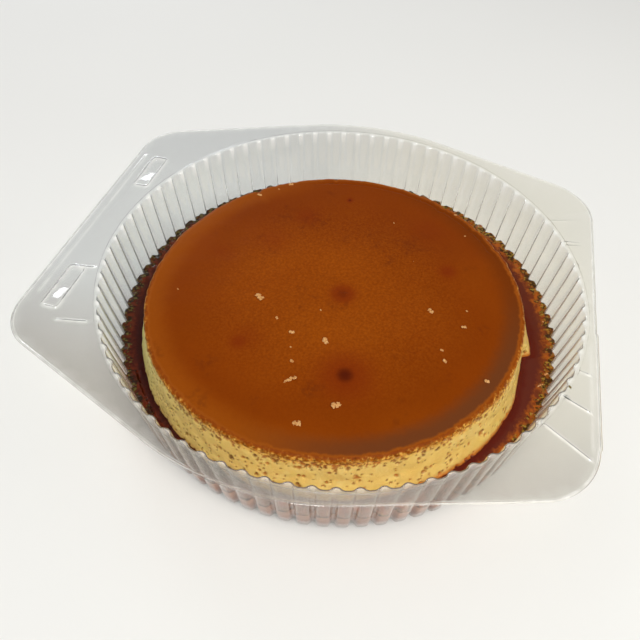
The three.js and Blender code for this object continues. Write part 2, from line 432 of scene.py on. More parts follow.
def spaced(points, step):
    """The same closed outline with points added wherever two are further apart than a step."""
    result = []
    for here, there in zip(points, np.roll(points, -1, axis=0)):
        pieces = max(1, int(np.linalg.norm(there - here) / step))
        result += [here + (there - here) * k / pieces for k in range(pieces)]
    return np.array(result)


def flange_outline():
    hinge = corner_centre(0, HINGE_REACH, HINGE_SLANT, slant_reach(HINGE_SLANT), HINGE_CORNER)
    latch = corner_centre(
        LATCH_SLANT, slant_reach(LATCH_SLANT), math.pi, LATCH_REACH, LATCH_CORNER)
    back = np.concatenate([
        arc(hinge, HINGE_CORNER, 0, HINGE_SLANT),
        arc((-BULGE_SHIFT, 0), BULGE_RADIUS, HINGE_SLANT, LATCH_SLANT),
        arc(latch, LATCH_CORNER, LATCH_SLANT, math.pi),
    ])
    front = back[::-1] * [1, -1]
    torn = np.array([[HINGE_REACH + HINGE_STEP, HINGE_STEP_Y - 1], [HINGE_REACH, HINGE_STEP_Y]])
    front[-1, 0] += HINGE_STEP
    return spaced(np.concatenate([back, front, torn]), 2.0)


outline = flange_outline()
print("outline:", len(outline), "points,", np.round(np.ptp(outline, axis=0), 1), "mm")

# %% [markdown]
# ## The fluted cup
# The cup is 82 upright flutes: broad bulges with narrower flat ridges between them. The
# columns of its mesh stand close together on the shoulders of the ridges. The blank is plain
# and round: it only carries a number, `fluted`, that says how much of the flutes' depth each
# point is to get. They grow shallower towards the flange but still reach it, so its inner
# edge is scalloped. The flutes themselves are pressed in by Geometry Nodes, because the same
# recipe then also shapes the sauce.

# %% Columns and the cup's side view
FLUTES = 82
FLUTE_DEPTH = 2.2
HALF_FLUTE = [0, 0.06, 0.10, 0.135, 0.17, 0.21, 0.27, 0.37]
RIM_HEIGHT = 51.0
RIM_RADIUS = 118.7
FLOOR_RADIUS = 113.3
FLOOR_TOP = 0.6
FLOOR_FILLET = 3.5
RIM_SHARE = 0.66
LIP_FILLET = 1.2
LIP_RADIUS = 120.6
FLOOR_RINGS = (30, 60, 84, 94, 98, 101, 104, 107)
FLOOR_FLUTES_FROM = 97
WALL_RINGS = 8

across_flute = np.array(HALF_FLUTE + [0.5] + [1 - t for t in HALF_FLUTE[:0:-1]])
flute_starts = np.arange(FLUTES) + 0.5
cup_angles = ((flute_starts[:, None] + across_flute) * 2 * math.pi / FLUTES).ravel()


def bulge_radius(z):
    """Inner radius of the flutes' bulges at a height."""
    share = (np.asarray(z, float) / RIM_HEIGHT) ** 0.85
    return FLOOR_RADIUS + (RIM_RADIUS - FLOOR_RADIUS) * share


def cup_side():
    """The cup's side view from the floor to the lip: radius, height, share of the flutes."""
    rows = []
    edge = bulge_radius(0) - FLOOR_FILLET
    for r in FLOOR_RINGS:
        rows.append((r, FLOOR_TOP, float(smooth(r, FLOOR_FLUTES_FROM, edge))))
    for t in np.radians([0, 18, 36, 54, 72]):
        rows.append((edge + FLOOR_FILLET * math.sin(t),
                     FLOOR_TOP + FLOOR_FILLET * (1 - math.cos(t)), 1.0))
    top = FLANGE_TOP - LIP_FILLET
    for z in np.linspace(FLOOR_TOP + FLOOR_FILLET, top, WALL_RINGS):
        rows.append((bulge_radius(z), z, 1 - (1 - RIM_SHARE) * float(smooth(z, 18, 50))))
    for t in np.radians([20, 40, 60, 75, 90]):
        rows.append((bulge_radius(top) + LIP_FILLET * (1 - math.cos(t)),
                     top + LIP_FILLET * math.sin(t), RIM_SHARE))
    rows.append((LIP_RADIUS, FLANGE_TOP, 0.0))
    return rows


def cup_rings(rows):
    """Round rings about the cup's axis from (radius, height, ...) rows."""
    a = cup_angles
    return np.array([
        np.stack([CUP[0] + row[0] * np.cos(a), CUP[1] + row[0] * np.sin(a),
                  np.full(len(a), row[1])], axis=1)
        for row in rows
    ])


print(len(cup_angles), "columns round the cup,", len(cup_side()), "rings from floor to lip")

# %% [markdown]
# ## The flutes, as a recipe
# A point's direction from the cup's axis says where in a flute it is: 0 in the middle of a
# bulge, 1 on a ridge. A soft step of that makes the steep shoulder between the two, and a
# little of its square keeps the bulge round. Towards the rim the shoulder starts earlier, so
# it is gentler there. The point then moves in by so much of the depth.

# %% Flute recipe
FLUTE_INPUTS = [
    ("Geometry", GEOMETRY, None), ("Flutes", INT, 60), ("Depth", FLOAT, 0.003),
    ("Roundness", FLOAT, 0.3), ("Rim Height", FLOAT, 0.05), ("Axis X", FLOAT, 0.0),
]


def make_flute_recipe():
    tree, w, given, out = new_tree(
        "press_flutes", "GeometryNodeTree", FLUTE_INPUTS, [("Geometry", GEOMETRY)])
    position = w.add("GeometryNodeInputPosition").outputs[0]
    axis = w.add("ShaderNodeCombineXYZ", {"X": given["Axis X"]}).outputs[0]
    from_axis = w.vector("MULTIPLY", w.vector("SUBTRACT", position, axis), (1, 1, 0))
    parts = w.add("ShaderNodeSeparateXYZ", {"Vector": from_axis}).outputs
    turn = w.math("ARCTAN2", parts["Y"], parts["X"])
    flute = w.times(turn, w.math("DIVIDE", given["Flutes"], 2 * math.pi))
    off_middle = w.minus(flute, w.math("ROUND", flute))
    across = w.times(w.math("ABSOLUTE", off_middle), 2.0)
    height = w.add("ShaderNodeSeparateXYZ", {"Vector": position}).outputs["Z"]
    share_up = w.math("DIVIDE", height, given["Rim Height"])
    shoulder = w.step(across, w.step(share_up, 0.3, 1.0, 0.46, 0.3), 0.84)
    square = w.times(across, across)
    flat = w.minus(1.0, given["Roundness"])
    ridge = w.plus(w.times(shoulder, flat), w.times(square, given["Roundness"]))
    depth = w.times(w.times(ridge, w.named("fluted")), given["Depth"])
    inwards = w.add("ShaderNodeVectorMath", operation="SCALE")
    w.plug(inwards.inputs[0], w.vector("NORMALIZE", from_axis))
    w.plug(inwards.inputs["Scale"], w.times(depth, -1.0))
    moved = w.add("GeometryNodeSetPosition",
                  {"Geometry": given["Geometry"], "Offset": inwards.outputs[0]})
    w.plug(out.inputs["Geometry"], moved.outputs[0])
    return tree


press_flutes = make_flute_recipe()
FLUTE_VALUES = {"Flutes": FLUTES, "Depth": FLUTE_DEPTH * MM, "Roundness": 0.3,
                "Rim_Height": FLANGE_TOP * MM, "Axis_X": float(CUP[0]) * MM}

# %% [markdown]
# ## Ribs and beads
# Low ribs fan out over the hinge side, two more stand by the latches, and a bead runs along
# each straight side. All are the same thing: the sheet is raised where it is close to a line.
# So the lines are drawn as bare edges, and a second recipe asks each point of the sheet how
# far the nearest line is and lifts it by a soft step of that distance.

# %% Guide lines
HINGE_RIBS = 9
RIB_PITCH = math.radians(8.2)
RIB_END = 3.2
LATCH_RIBS = [[(-129, -38.5), (-116.5, -36)], [(-117, -71), (-103.5, -68.5)]]
HINGE_BEAD, HINGE_BEAD_HALF = 2.9, 74.0
LATCH_BEAD, LATCH_BEAD_HALF = 5.2, 57.0


def rib_lines():
    """Start and end of each rib, measured from the cup's axis."""
    lines = [[np.array(p, float) for p in line] for line in LATCH_RIBS]
    end = HINGE_REACH - RIB_END
    for k in range(HINGE_RIBS):
        a = (k - (HINGE_RIBS - 1) / 2) * RIB_PITCH
        start = (LIP_RADIUS + 0.3) * np.array([math.cos(a), math.sin(a)])
        if start[0] < end - 1:
            lines.append([start, np.array([end, end * math.tan(a)])])
    return lines


def bead_lines():
    """The beads just inside the hinge side and the latch side."""
    hinge, latch = HINGE_REACH - HINGE_BEAD, LATCH_BEAD - LATCH_REACH
    return [[np.array([x, -half]), np.array([x, half])]
            for x, half in ((hinge, HINGE_BEAD_HALF), (latch, LATCH_BEAD_HALF))]


def guide_object(name, lines):
    """Bare edges at the flange's height, for the recipe to measure from."""
    points = [(*(CUP + end), FLANGE_TOP) for line in lines for end in line]
    edges = [(k, k + 1) for k in range(0, len(points), 2)]
    return mesh_object(name, points, [], edges)


def make_line_recipe():
    tree, w, given, out = new_tree(
        "press_along_lines", "GeometryNodeTree",
        [("Geometry", GEOMETRY, None), ("Lines", OBJECT, None), ("Half Width", FLOAT, 0.001),
         ("Height", FLOAT, 0.0005)],
        [("Geometry", GEOMETRY)])
    lines = w.add("GeometryNodeObjectInfo", {"Object": given["Lines"]}).outputs["Geometry"]
    near = w.add("GeometryNodeProximity", target_element="EDGES")
    w.plug(near.inputs[0], lines)
    lift = w.step(near.outputs["Distance"], given["Half Width"], 0.0)
    offset = w.add("ShaderNodeCombineXYZ", {"Z": w.times(lift, given["Height"])})
    moved = w.add("GeometryNodeSetPosition",
                  {"Geometry": given["Geometry"], "Offset": offset.outputs[0]})
    w.plug(out.inputs["Geometry"], moved.outputs[0])
    return tree


press_lines = make_line_recipe()
print(len(rib_lines()), "ribs and", len(bead_lines()), "beads")

# %% [markdown]
# ## The snap pockets
# Two oblong pockets on the latch side take the lid's studs. Each is a soft raised wall round
# a sunken channel, and the front half of the channel climbs as a flat ramp, which is the face
# that flashes when the tray is turned. There are only two, so their height is a formula.

# %% Height of a pocket
SNAP_X = -124.5
SNAPS_Y = (43.0, -51.5)
SNAP_HALF = np.array([5.0, 14.5])
SNAP_ROUND = 3.0
SNAP_WALL = 1.0
SNAP_RAISE = 0.9
SNAP_SINK = 1.2
RAMP_FROM, RAMP_TO = 0.5, -8.5
RAMP_RISE = 1.9


def snap_distance(local):
    """Distance outside a pocket's rounded outline, negative inside it."""
    q = np.abs(local) - (SNAP_HALF - SNAP_ROUND)
    outside = np.linalg.norm(np.maximum(q, 0), axis=1)
    return outside + np.minimum(q.max(axis=1), 0) - SNAP_ROUND


def snap_height(xy):
    """How far the pockets raise or sink the sheet at points measured from the cup's axis."""
    height = np.zeros(len(xy))
    for y in SNAPS_Y:
        local = xy - [SNAP_X, y]
        gap = snap_distance(local)
        wall = SNAP_RAISE * smooth(-np.abs(gap + SNAP_WALL), -1.7, 0)
        floor = smooth(-gap, 1.2, 2.9)
        ramp = RAMP_RISE * np.clip((RAMP_FROM - local[:, 1]) / (RAMP_FROM - RAMP_TO), 0, 1)
        height += wall * (1 - floor) + floor * (ramp - SNAP_SINK)
    return height

# %% [markdown]
# ## The blank sheet
# Round the cup lies the flat flange. Its outline is odd and its details are small, so it is
# filled with triangles between the lip and the outline: many where something is pressed, and
# few on the plain parts. `delaunay_2d_cdt` does that once it has all the points. The
# sheet cooled a touch wavy, which bends the reflections on the plain parts.

# %% Points of the flange
BESIDE = (-3.2, -2.3, -1.6, -1.1, -0.7, -0.35, 0, 0.35, 0.7, 1.1, 1.6, 2.3, 3.2)


def beside_line(start, end, offsets=BESIDE, step=1.2):
    """Rows of points along a line and at small offsets to its sides."""
    length = np.linalg.norm(end - start)
    along = (end - start) / length
    across = np.array([-along[1], along[0]])
    stations = np.linspace(-1.2, length + 1.2, int(length / step) + 3)
    return [start + along * s + across * o for s in stations for o in offsets]


def pocket_points():
    """A fine lattice over each pocket."""
    xs = np.arange(-6.6, 6.7, 0.4)
    ys = np.arange(-16, 16.1, 0.5)
    return [np.array([SNAP_X + x, y + dy]) for y in SNAPS_Y for x in xs for dy in ys]


def spread_points():
    """A loose lattice over the whole tray, for the plain parts."""
    step = 4.2
    rows = np.arange(-130, 131, step * 0.87)
    return [np.array([x + (k % 2) * step / 2, y])
            for k, y in enumerate(rows) for x in np.arange(-142, 128, step)]


def inside_flange(points, margin):
    """Which points lie on the flange, at least a margin from its edges."""
    r = np.linalg.norm(points, axis=1)
    keep = r > LIP_RADIUS + margin
    here, there = outline, np.roll(outline, -1, axis=0)
    for start, end in zip(here, there):
        edge = end - start
        cross = edge[0] * (points[:, 1] - start[1]) - edge[1] * (points[:, 0] - start[0])
        keep &= cross > margin * np.linalg.norm(edge)
    return keep


def clear_of(points, others, distance):
    """The points that are further than a distance from all the others."""
    gaps = [np.min(np.linalg.norm(others - p, axis=1)) for p in points]
    return points[np.array(gaps) > distance]


def edge_row(inset):
    """The outline again, a little further in, for the rolled edge."""
    here, ahead = np.roll(outline, 1, axis=0), np.roll(outline, -1, axis=0)
    along = ahead - here
    along /= np.linalg.norm(along, axis=1)[:, None]
    return outline + inset * np.stack([-along[:, 1], along[:, 0]], axis=1)


def flange_points():
    kept = np.array(pocket_points())
    for start, end in rib_lines() + bead_lines():
        row = np.array(beside_line(start, end))
        row = row[inside_flange(row, 2.1)]
        kept = np.concatenate([kept, clear_of(row, kept, 0.33)])
    rows = [edge_row(inset) for inset in (0.4, 0.8, 1.2, 1.7)]
    coarse = np.array(spread_points())
    coarse = coarse[inside_flange(coarse, 3.0)]
    return np.concatenate([kept, *rows, clear_of(coarse, kept, 1.6)])


def flange_sheet():
    """Flat triangles between the lip and the outline, measured from the cup's axis."""
    lip = LIP_RADIUS * np.stack([np.cos(cup_angles), np.sin(cup_angles)], axis=1)
    inner = flange_points()
    points = np.concatenate([lip, outline, inner])
    loops = []
    for start, count in ((0, len(lip)), (len(lip), len(outline))):
        loops += [(start + k, start + (k + 1) % count) for k in range(count)]
    found = delaunay_2d_cdt([Vector(p) for p in points], loops, [], 1, 1e-5)
    flat = np.array([tuple(v) for v in found[0]])
    faces = [f for f in found[2] if np.linalg.norm(flat[list(f)].mean(axis=0)) > LIP_RADIUS - 0.05]
    return flat, faces


flange_flat, flange_faces = flange_sheet()
print("flange:", len(flange_flat), "points,", len(flange_faces), "triangles")

# %% [markdown]
# ## Forming the tray
# The cup's rings and the flange's triangles are put in one mesh and their shared lip is
# merged. The recipes press the flutes, ribs and beads, and Solidify gives the sheet its
# thickness. The skin modelled so far is the inner one, facing up, so the thickness is added
# below and outside it. The cut edge of the sheet and the lip are kept sharp, or their shading
# would bleed into the flat flange as grey bands and flares.

# %% Tray
SHEET = 0.5
EDGE_RAISE = 0.4


def line_distance(points, lines):
    """How far each point is from the nearest of some straight lines."""
    result = np.full(len(points), 99.0)
    for start, end in lines:
        edge = end - start
        share = np.clip(((points - start) @ edge) / (edge @ edge), 0, 1)
        gap = np.linalg.norm(points - start - share[:, None] * edge, axis=1)
        result = np.minimum(result, gap)
    return result


def painted_flange_highlight(edge_gap):
    """Painted highlight: 1 on the ribs, beads, pockets and rolled edge, where the sheet was bent
    or stretched most.
    """
    highlight = np.exp(-((edge_gap - 0.8) / 0.7) ** 2)
    highlight = np.maximum(highlight, np.exp(-((line_distance(flange_flat, rib_lines()) / 0.9) ** 2)))
    beside_bead = line_distance(flange_flat, bead_lines())
    highlight = np.maximum(highlight, 0.5 * np.exp(-(beside_bead ** 2)))
    for y in SNAPS_Y:
        gap = snap_distance(flange_flat - [SNAP_X, y])
        highlight = np.maximum(highlight, 0.8 * np.exp(-((gap + SNAP_WALL) / 1.1) ** 2))
    return highlight * (0.75 + 0.25 * wander(np.column_stack([flange_flat, 0 * edge_gap]), 4, 50))


def tray_blank():
    rows = cup_side()
    rings = cup_rings(rows)
    columns = rings.shape[1]
    points = rings.reshape(-1, 3).tolist()
    faces = [f[::-1] for f in ring_faces(len(rows), columns)]
    points.append([CUP[0], CUP[1], FLOOR_TOP])
    faces += [[len(points) - 1, k, (k + 1) % columns] for k in range(columns)]
    share = [row[2] for row in rows for _ in range(columns)] + [0.0]
    start = len(points)
    wave = 0.07 * smooth(np.linalg.norm(flange_flat, axis=1), LIP_RADIUS, LIP_RADIUS + 6)
    spots = np.column_stack([flange_flat, np.zeros(len(flange_flat))])
    height = FLANGE_TOP + snap_height(flange_flat) + wave * wander(spots, 45)
    edge_gap = line_distance(flange_flat, list(zip(outline, np.roll(outline, -1, axis=0))))
    height += EDGE_RAISE * np.exp(-((edge_gap - 0.8) / 0.45) ** 2)
    points += np.column_stack([flange_flat + CUP, height]).tolist()
    for face in flange_faces:
        a, b, c = (flange_flat[k] for k in face)
        up = (b[0] - a[0]) * (c[1] - a[1]) - (b[1] - a[1]) * (c[0] - a[0]) > 0
        faces.append([start + k for k in (face if up else face[::-1])])
    share += [0.0] * len(flange_flat)
    blank = mesh_object("clear_fluted_tray", points, faces)
    paint(blank, "fluted", share)
    level = [float(row[1] > FLANGE_TOP - 0.05) for row in rows for _ in range(columns)]
    paint(blank, "flange", [*level, 0.0] + [1.0] * len(flange_flat))
    # Painted highlights: white on the ridge tops at the lip, and on the flange's ribs, beads,
    # pockets and edge.
    flute = cup_angles * FLUTES / (2 * math.pi)
    near_ridge = smooth(np.abs(flute - np.round(flute)), 0.25, 0.42)
    highlight = [(row[2] > 0) * float(smooth(row[1], 51.2, 52.6)) * (0.15 + 0.7 * k)
             for row in rows for k in near_ridge]
    paint(blank, "painted_highlight", np.clip([*highlight, 0.0, *painted_flange_highlight(edge_gap)], 0, 1))
    return blank


def merge_doubles(obj, distance=0.004):
    """Joins points that lie on each other."""
    work = bmesh.new()
    work.from_mesh(obj.data)
    bmesh.ops.remove_doubles(work, verts=work.verts, dist=distance * MM)
    work.to_mesh(obj.data)
    work.free()


def sharpen_lip(mesh):
    """Marks the edges between the lip and the flange sharp."""
    spots = np.array([v.co for v in mesh.vertices]) / MM
    r = np.linalg.norm(spots[:, :2] - CUP, axis=1)
    on_lip = (np.abs(r - LIP_RADIUS) < 0.12) & (spots[:, 2] > FLANGE_TOP - 1.2)
    for edge in mesh.edges:
        if on_lip[edge.vertices[0]] and on_lip[edge.vertices[1]]:
            edge.use_edge_sharp = True


def make_tray(material):
    tray = tray_blank()
    merge_doubles(tray)
    ribs = guide_object("rib_guides", rib_lines())
    beads = guide_object("bead_guides", bead_lines())
    tree, w, given, out = new_tree(
        "formed_tray", "GeometryNodeTree",
        [*FLUTE_INPUTS, ("Ribs", OBJECT, None), ("Rib Height", FLOAT, 0.0007),
         ("Beads", OBJECT, None), ("Bead Height", FLOAT, 0.0004), ("Half Width", FLOAT, 0.001),
         ("Plastic", MATERIAL, None)],
        [("Geometry", GEOMETRY)])
    shape = {label: given[label] for label, _, _ in FLUTE_INPUTS}
    fluted = w.group(press_flutes, shape).outputs[0]
    for lines, height in (("Ribs", "Rib Height"), ("Beads", "Bead Height")):
        values = {"Geometry": fluted, "Lines": given[lines], "Height": given[height]}
        fluted = w.group(press_lines, {**values, "Half Width": given["Half Width"]}).outputs[0]
    real = w.add("GeometryNodeRealizeInstances", {"Geometry": fluted}).outputs[0]
    done = w.add("GeometryNodeSetMaterial", {"Geometry": real, "Material": given["Plastic"]})
    w.plug(out.inputs["Geometry"], done.outputs[0])
    use_tree(tray, tree, **FLUTE_VALUES, Ribs=ribs, Rib_Height=0.6 * MM, Beads=beads,
             Bead_Height=0.3 * MM, Half_Width=1.2 * MM, Plastic=material)
    wall = tray.modifiers.new("sheet", "SOLIDIFY")
    wall.thickness = SHEET * MM
    wall.offset = -1
    bake(tray)
    tray.data.set_sharp_from_angle(angle=math.radians(38))
    sharpen_lip(tray.data)
    for guide in (ribs, beads):
        bpy.data.objects.remove(guide)
    return tray

# %% [markdown]
# ## Clear plastic
# The sheet is clear, but thin sheet that was stretched in a mould scatters a little light, so
# it looks like pale smoke. Most of the shader is transmission, and the small rest is a pale
# grey. The grey is painted cooler and darker on the latch side, as painted shade, warmer and
# lighter on the hinge side, as painted light, and on the flange darker towards the front, as
# painted shade. The haze is uneven, and the surface has a faint orange peel. In front, where
# the tray was tilted, a thin film of caramel is left on the wall and tints it. Where the sheet
# was bent or stretched most, on the ridge tops at the lip, the ribs, the beads, the pockets and
# the rolled edge, it is painted white, as painted highlights. So thin a sheet hardly shifts what
# is seen through it, so its index is low, and a coat gives it the gloss of real plastic. Shadow
# rays pass straight through, which keeps the light inside the tray: glass in a path tracer
# otherwise casts a shadow as dark as slate.

# %% Plastic material
def make_plastic():
    material, w, shader = new_material(
        "clear_plastic", Transmission_Weight=0.9, IOR=1.18, Metallic=0.0, Coat_Weight=0.7,
        Coat_IOR=1.5, Coat_Roughness=0.05)
    haze = mottle(w, 26, 0.1, 1.0)
    parts = place_mm(w)
    # Painted light and shade: the latch side is painted a cool darker grey, as painted shade, and
    # the hinge side warmer and lighter, as painted light.
    hinge_side = w.step(parts["X"], -70.0, 50.0)
    wall = blend(w, hinge_side, tone(212, 215, 217), tone(234, 232, 224))
    wall = blend(w, w.times(haze, 0.5), wall, tone(241, 241, 238))
    front = w.step(parts["Y"], -55.0, -95.0)
    wall = blend(w, front, wall, tone(243, 239, 230))
    film = w.times(w.step(parts["Z"], 44.0, 24.0), front)
    wall = blend(w, w.times(film, 0.8), wall, tone(226, 192, 172))
    flange = blend(w, hinge_side, tone(216, 218, 219), tone(234, 232, 223))
    # Painted shade: the flange is painted darker towards the front.
    near = blend(w, hinge_side, tone(190, 187, 182), tone(208, 205, 199))
    flange = blend(w, w.step(parts["Y"], -30.0, -105.0), flange, near)
    color = blend(w, painted(w, "flange"), wall, flange)
    # Painted highlights: the sheet is painted white where it was bent or stretched most.
    color = blend(w, painted(w, "painted_highlight"), color, tone(255, 255, 253))
    w.plug(shader.inputs["Base Color"], color)
    w.plug(shader.inputs["Roughness"], w.step(haze, 0.0, 1.0, 0.05, 0.09))
    bump(w, shader, mottle(w, 9, 0.0, 2.0), 0.02)
    clear = w.add("ShaderNodeBsdfTransparent", {"Color": (0.93, 0.93, 0.92, 1)})
    ray = w.add("ShaderNodeLightPath").outputs["Is Shadow Ray"]
    mix = w.add("ShaderNodeMixShader", {"Fac": ray})
    w.plug(mix.inputs[1], shader.outputs[0])
    w.plug(mix.inputs[2], clear.outputs[0])
    surface = material.node_tree.nodes["Material Output"].inputs["Surface"]
    w.plug(surface, mix.outputs[0])
    return material


plastic = make_plastic()
tray = make_tray(plastic)

# %% [markdown]
# ## The custard's shape
# The side is a stack of rings again. The pan's wall flared, so the flan is wider at its foot
# than at its top, it has sagged a little forward, and on the hinge side its foot is torn: a
# flap stands out behind the tear, and the custard is hollowed in front of it. Wide soft
# noise makes the side uneven, as set custard is.

# %% Custard side
CUSTARD_COLUMNS = 1240
TOP_RADIUS = 95.0
TOP_STRAYS = [(1, 0.25, 104.0), (2, 0.87, 41.6), (3, 0.25, -24.0)]
FOOT_RADIUS = 100.8
FOOT_SAG = 0.6
FOOT_SAG_AT = math.radians(-80)
FLAP = 3.2
TEAR_AT = math.radians(2.5)
FLAP_SPREAD = math.radians(26)
TORN_DEPTH = 2.2
TORN_SPREAD = math.radians(14)
BOTTOM_RADIUS = 97.5
FINE_SIDE = math.radians(205)
flan_angles = np.arange(CUSTARD_COLUMNS) * 2 * math.pi / CUSTARD_COLUMNS


def top_radius(a):
    """Radius of the flan's top edge in a direction: nearly round, and wider along one line."""
    strays = [height * np.cos(n * (a - math.radians(at))) for n, height, at in TOP_STRAYS]
    return TOP_RADIUS + sum(strays)


def foot_radius(a):
    """Radius of the custard at the sauce's level, in a direction from its own axis."""
    turn = np.arctan2(np.sin(a - TEAR_AT), np.cos(a - TEAR_AT))
    sag = FOOT_SAG * np.cos(a - FOOT_SAG_AT)
    flap = FLAP * np.exp(-((turn / FLAP_SPREAD) ** 2))
    hollow = -TORN_DEPTH * np.exp(-((turn / TORN_SPREAD) ** 2))
    behind = smooth(turn, math.radians(-1.6), math.radians(0.6))
    behind = np.where(np.abs(turn) > 2.5, (turn > 0) * 1.0, behind)
    return FOOT_RADIUS + sag + behind * flap + (1 - behind) * hollow


def side_radius(a, z):
    """Radius of the custard at a height, on straight lines between five known ones."""
    foot = foot_radius(a)
    levels = [custard_low[2], SAUCE_LEVEL / 2, SAUCE_LEVEL, (SAUCE_LEVEL + CUSTARD_TOP) / 2,
              CUSTARD_TOP]
    radii = [np.full_like(a, BOTTOM_RADIUS), (BOTTOM_RADIUS + 2 * foot) / 3, foot,
             0.42 * foot + 0.58 * top_radius(a), top_radius(a) + 0.1]
    k = min(int(np.searchsorted(levels, z, side="right")) - 1, len(levels) - 2)
    share = (z - levels[k]) / (levels[k + 1] - levels[k])
    return radii[k] + (radii[k + 1] - radii[k]) * share


def flan_ring(radius, z, angles):
    """A ring about the flan's axis."""
    z = np.broadcast_to(z, angles.shape)
    return np.stack([FLAN[0] + radius * np.cos(angles), FLAN[1] + radius * np.sin(angles), z],
                    axis=1)


def custard_mesh():
    rings = [flan_ring(BOTTOM_RADIUS - 2, custard_low[2], flan_angles)]
    below = [custard_low[2] + 0.8, 4, 8, 12, 15, 17]
    seen = np.arange(17.9, CUSTARD_TOP, 0.4).tolist()
    for z in below + seen + [CUSTARD_TOP]:
        ring = flan_ring(side_radius(flan_angles, z), z, flan_angles)
        swell = 0.32 * wander(ring, 15, 3) + 0.16 * wander(ring, 5, 4)
        away = flan_ring(1.0, 0.0, flan_angles) - [FLAN[0], FLAN[1], 0]
        rings.append(ring + away * swell[:, None])
    first = (FLAN[0], FLAN[1], custard_low[2])
    last = (FLAN[0], FLAN[1], CUSTARD_TOP)
    body = stack_mesh("baked_custard", np.array(rings), first, last)
    at = np.arctan2(*(points_mm(body)[:, :2] - FLAN).T[::-1])
    off = np.abs(np.angle(np.exp(1j * (at - FINE_SIDE))))
    paint(body, "fine", smooth(off, math.radians(62), math.radians(25)))
    return body

# %% [markdown]
# ## Pores
# Custard that was baked a little too warm is full of small bubbles, flattened as it set:
# crowded just under the caramel, scattered below. The recipe strews points over the side,
# and each point of the mesh looks up the nearest one. If it is closer than that bubble's own
# radius, it sinks in. Heights are stretched before measuring, so the bubbles come out as flat
# ellipses, and a little noise makes their edges uneven. The recipe also paints `pore` and
# `pore_tone` on the mesh for the material. It is used once for each crowd of bubbles, and a
# crowd can be kept to the part of the side where they are fine and dense.

# %% Pore recipe
def make_pore_recipe():
    tree, w, given, out = new_tree(
        "pores", "GeometryNodeTree",
        [("Geometry", GEOMETRY, None), ("Density", FLOAT, 1000.0), ("Lowest", FLOAT, 0.0),
         ("Highest", FLOAT, 0.04), ("Smallest", FLOAT, 0.0003), ("Largest", FLOAT, 0.001),
         ("Flatness", FLOAT, 1.6), ("Depth", FLOAT, 0.0005), ("Only Where Fine", FLOAT, 0.0),
         ("Seed", INT, 1)],
        [("Geometry", GEOMETRY)])

    position = w.add("GeometryNodeInputPosition").outputs[0]
    height = w.add("ShaderNodeSeparateXYZ", {"Vector": position}).outputs["Z"]
    above = w.math("GREATER_THAN", height, given["Lowest"])
    below = w.math("LESS_THAN", height, given["Highest"])
    missing = w.times(w.minus(1.0, w.named("fine")), given["Only Where Fine"])
    density = w.times(given["Density"], w.minus(1.0, missing))
    strewn = w.add("GeometryNodeDistributePointsOnFaces", {
        "Mesh": given["Geometry"], "Selection": w.times(above, below),
        "Density": density, "Seed": given["Seed"]})
    stretch = w.add("ShaderNodeCombineXYZ", {"X": 1.0, "Y": 1.0, "Z": given["Flatness"]})
    squashed = w.vector("MULTIPLY", position, stretch.outputs[0])
    centres = w.add("GeometryNodeSetPosition",
                    {"Geometry": strewn.outputs["Points"], "Position": squashed}).outputs[0]
    uneven = w.add("ShaderNodeTexNoise", {"Vector": position, "Scale": 900.0, "Detail": 1.0})
    centred = w.vector("SUBTRACT", uneven.outputs[1], (0.5, 0.5, 0.5))
    nudge = w.add("ShaderNodeVectorMath", operation="SCALE")
    w.plug(nudge.inputs[0], centred)
    w.plug(nudge.inputs["Scale"], w.times(given["Largest"], 1.1))
    asked = w.vector("ADD", squashed, nudge.outputs[0])
    nearest = w.add("GeometryNodeSampleNearest",
                    {"Geometry": centres, "Sample Position": asked}, domain="POINT").outputs[0]

    def looked_up(kind, value):
        node = w.add("GeometryNodeSampleIndex", data_type=kind, domain="POINT")
        w.plug(node.inputs["Geometry"], centres)
        w.plug(node.inputs["Value"], value)
        w.plug(node.inputs["Index"], nearest)
        return node.outputs[0]

    def chance(low, high, seed):
        node = w.add("FunctionNodeRandomValue", data_type="FLOAT")
        w.plug(node.inputs[2], low)
        w.plug(node.inputs[3], high)
        w.plug(node.inputs["Seed"], seed)
        return node.outputs[1]

    centre = looked_up("FLOAT_VECTOR", position)
    radius = looked_up("FLOAT", chance(given["Smallest"], given["Largest"], 7))
    gap = w.vector("LENGTH", w.vector("SUBTRACT", asked, centre))
    pore = w.step(gap, radius, w.times(radius, 0.45))

    mix = w.add("ShaderNodeMix", data_type="FLOAT")
    w.plug(mix.inputs["Factor"], w.math("GREATER_THAN", pore, w.named("pore")))
    w.plug(mix.inputs["A"], w.named("pore_tone"))
    w.plug(mix.inputs["B"], looked_up("FLOAT", chance(0.0, 1.0, 11)))
    shape = given["Geometry"]
    deepest = w.math("MAXIMUM", pore, w.named("pore"))
    for name, value in (("pore_tone", mix.outputs[0]), ("pore", deepest)):
        store = w.add("GeometryNodeStoreNamedAttribute", {"Name": name}, data_type="FLOAT")
        w.plug(store.inputs["Geometry"], shape)
        w.plug(store.inputs["Value"], value)
        shape = store.outputs[0]
    inwards = w.add("ShaderNodeVectorMath", operation="SCALE")
    w.plug(inwards.inputs[0], w.add("GeometryNodeInputNormal").outputs[0])
    size = w.math("DIVIDE", radius, given["Largest"])
    sink = w.times(w.times(pore, size), given["Depth"])
    w.plug(inwards.inputs["Scale"], w.times(sink, -1.0))
    moved = w.add("GeometryNodeSetPosition", {"Geometry": shape, "Offset": inwards.outputs[0]})
    w.plug(out.inputs["Geometry"], moved.outputs[0])
    return tree


pores = make_pore_recipe()


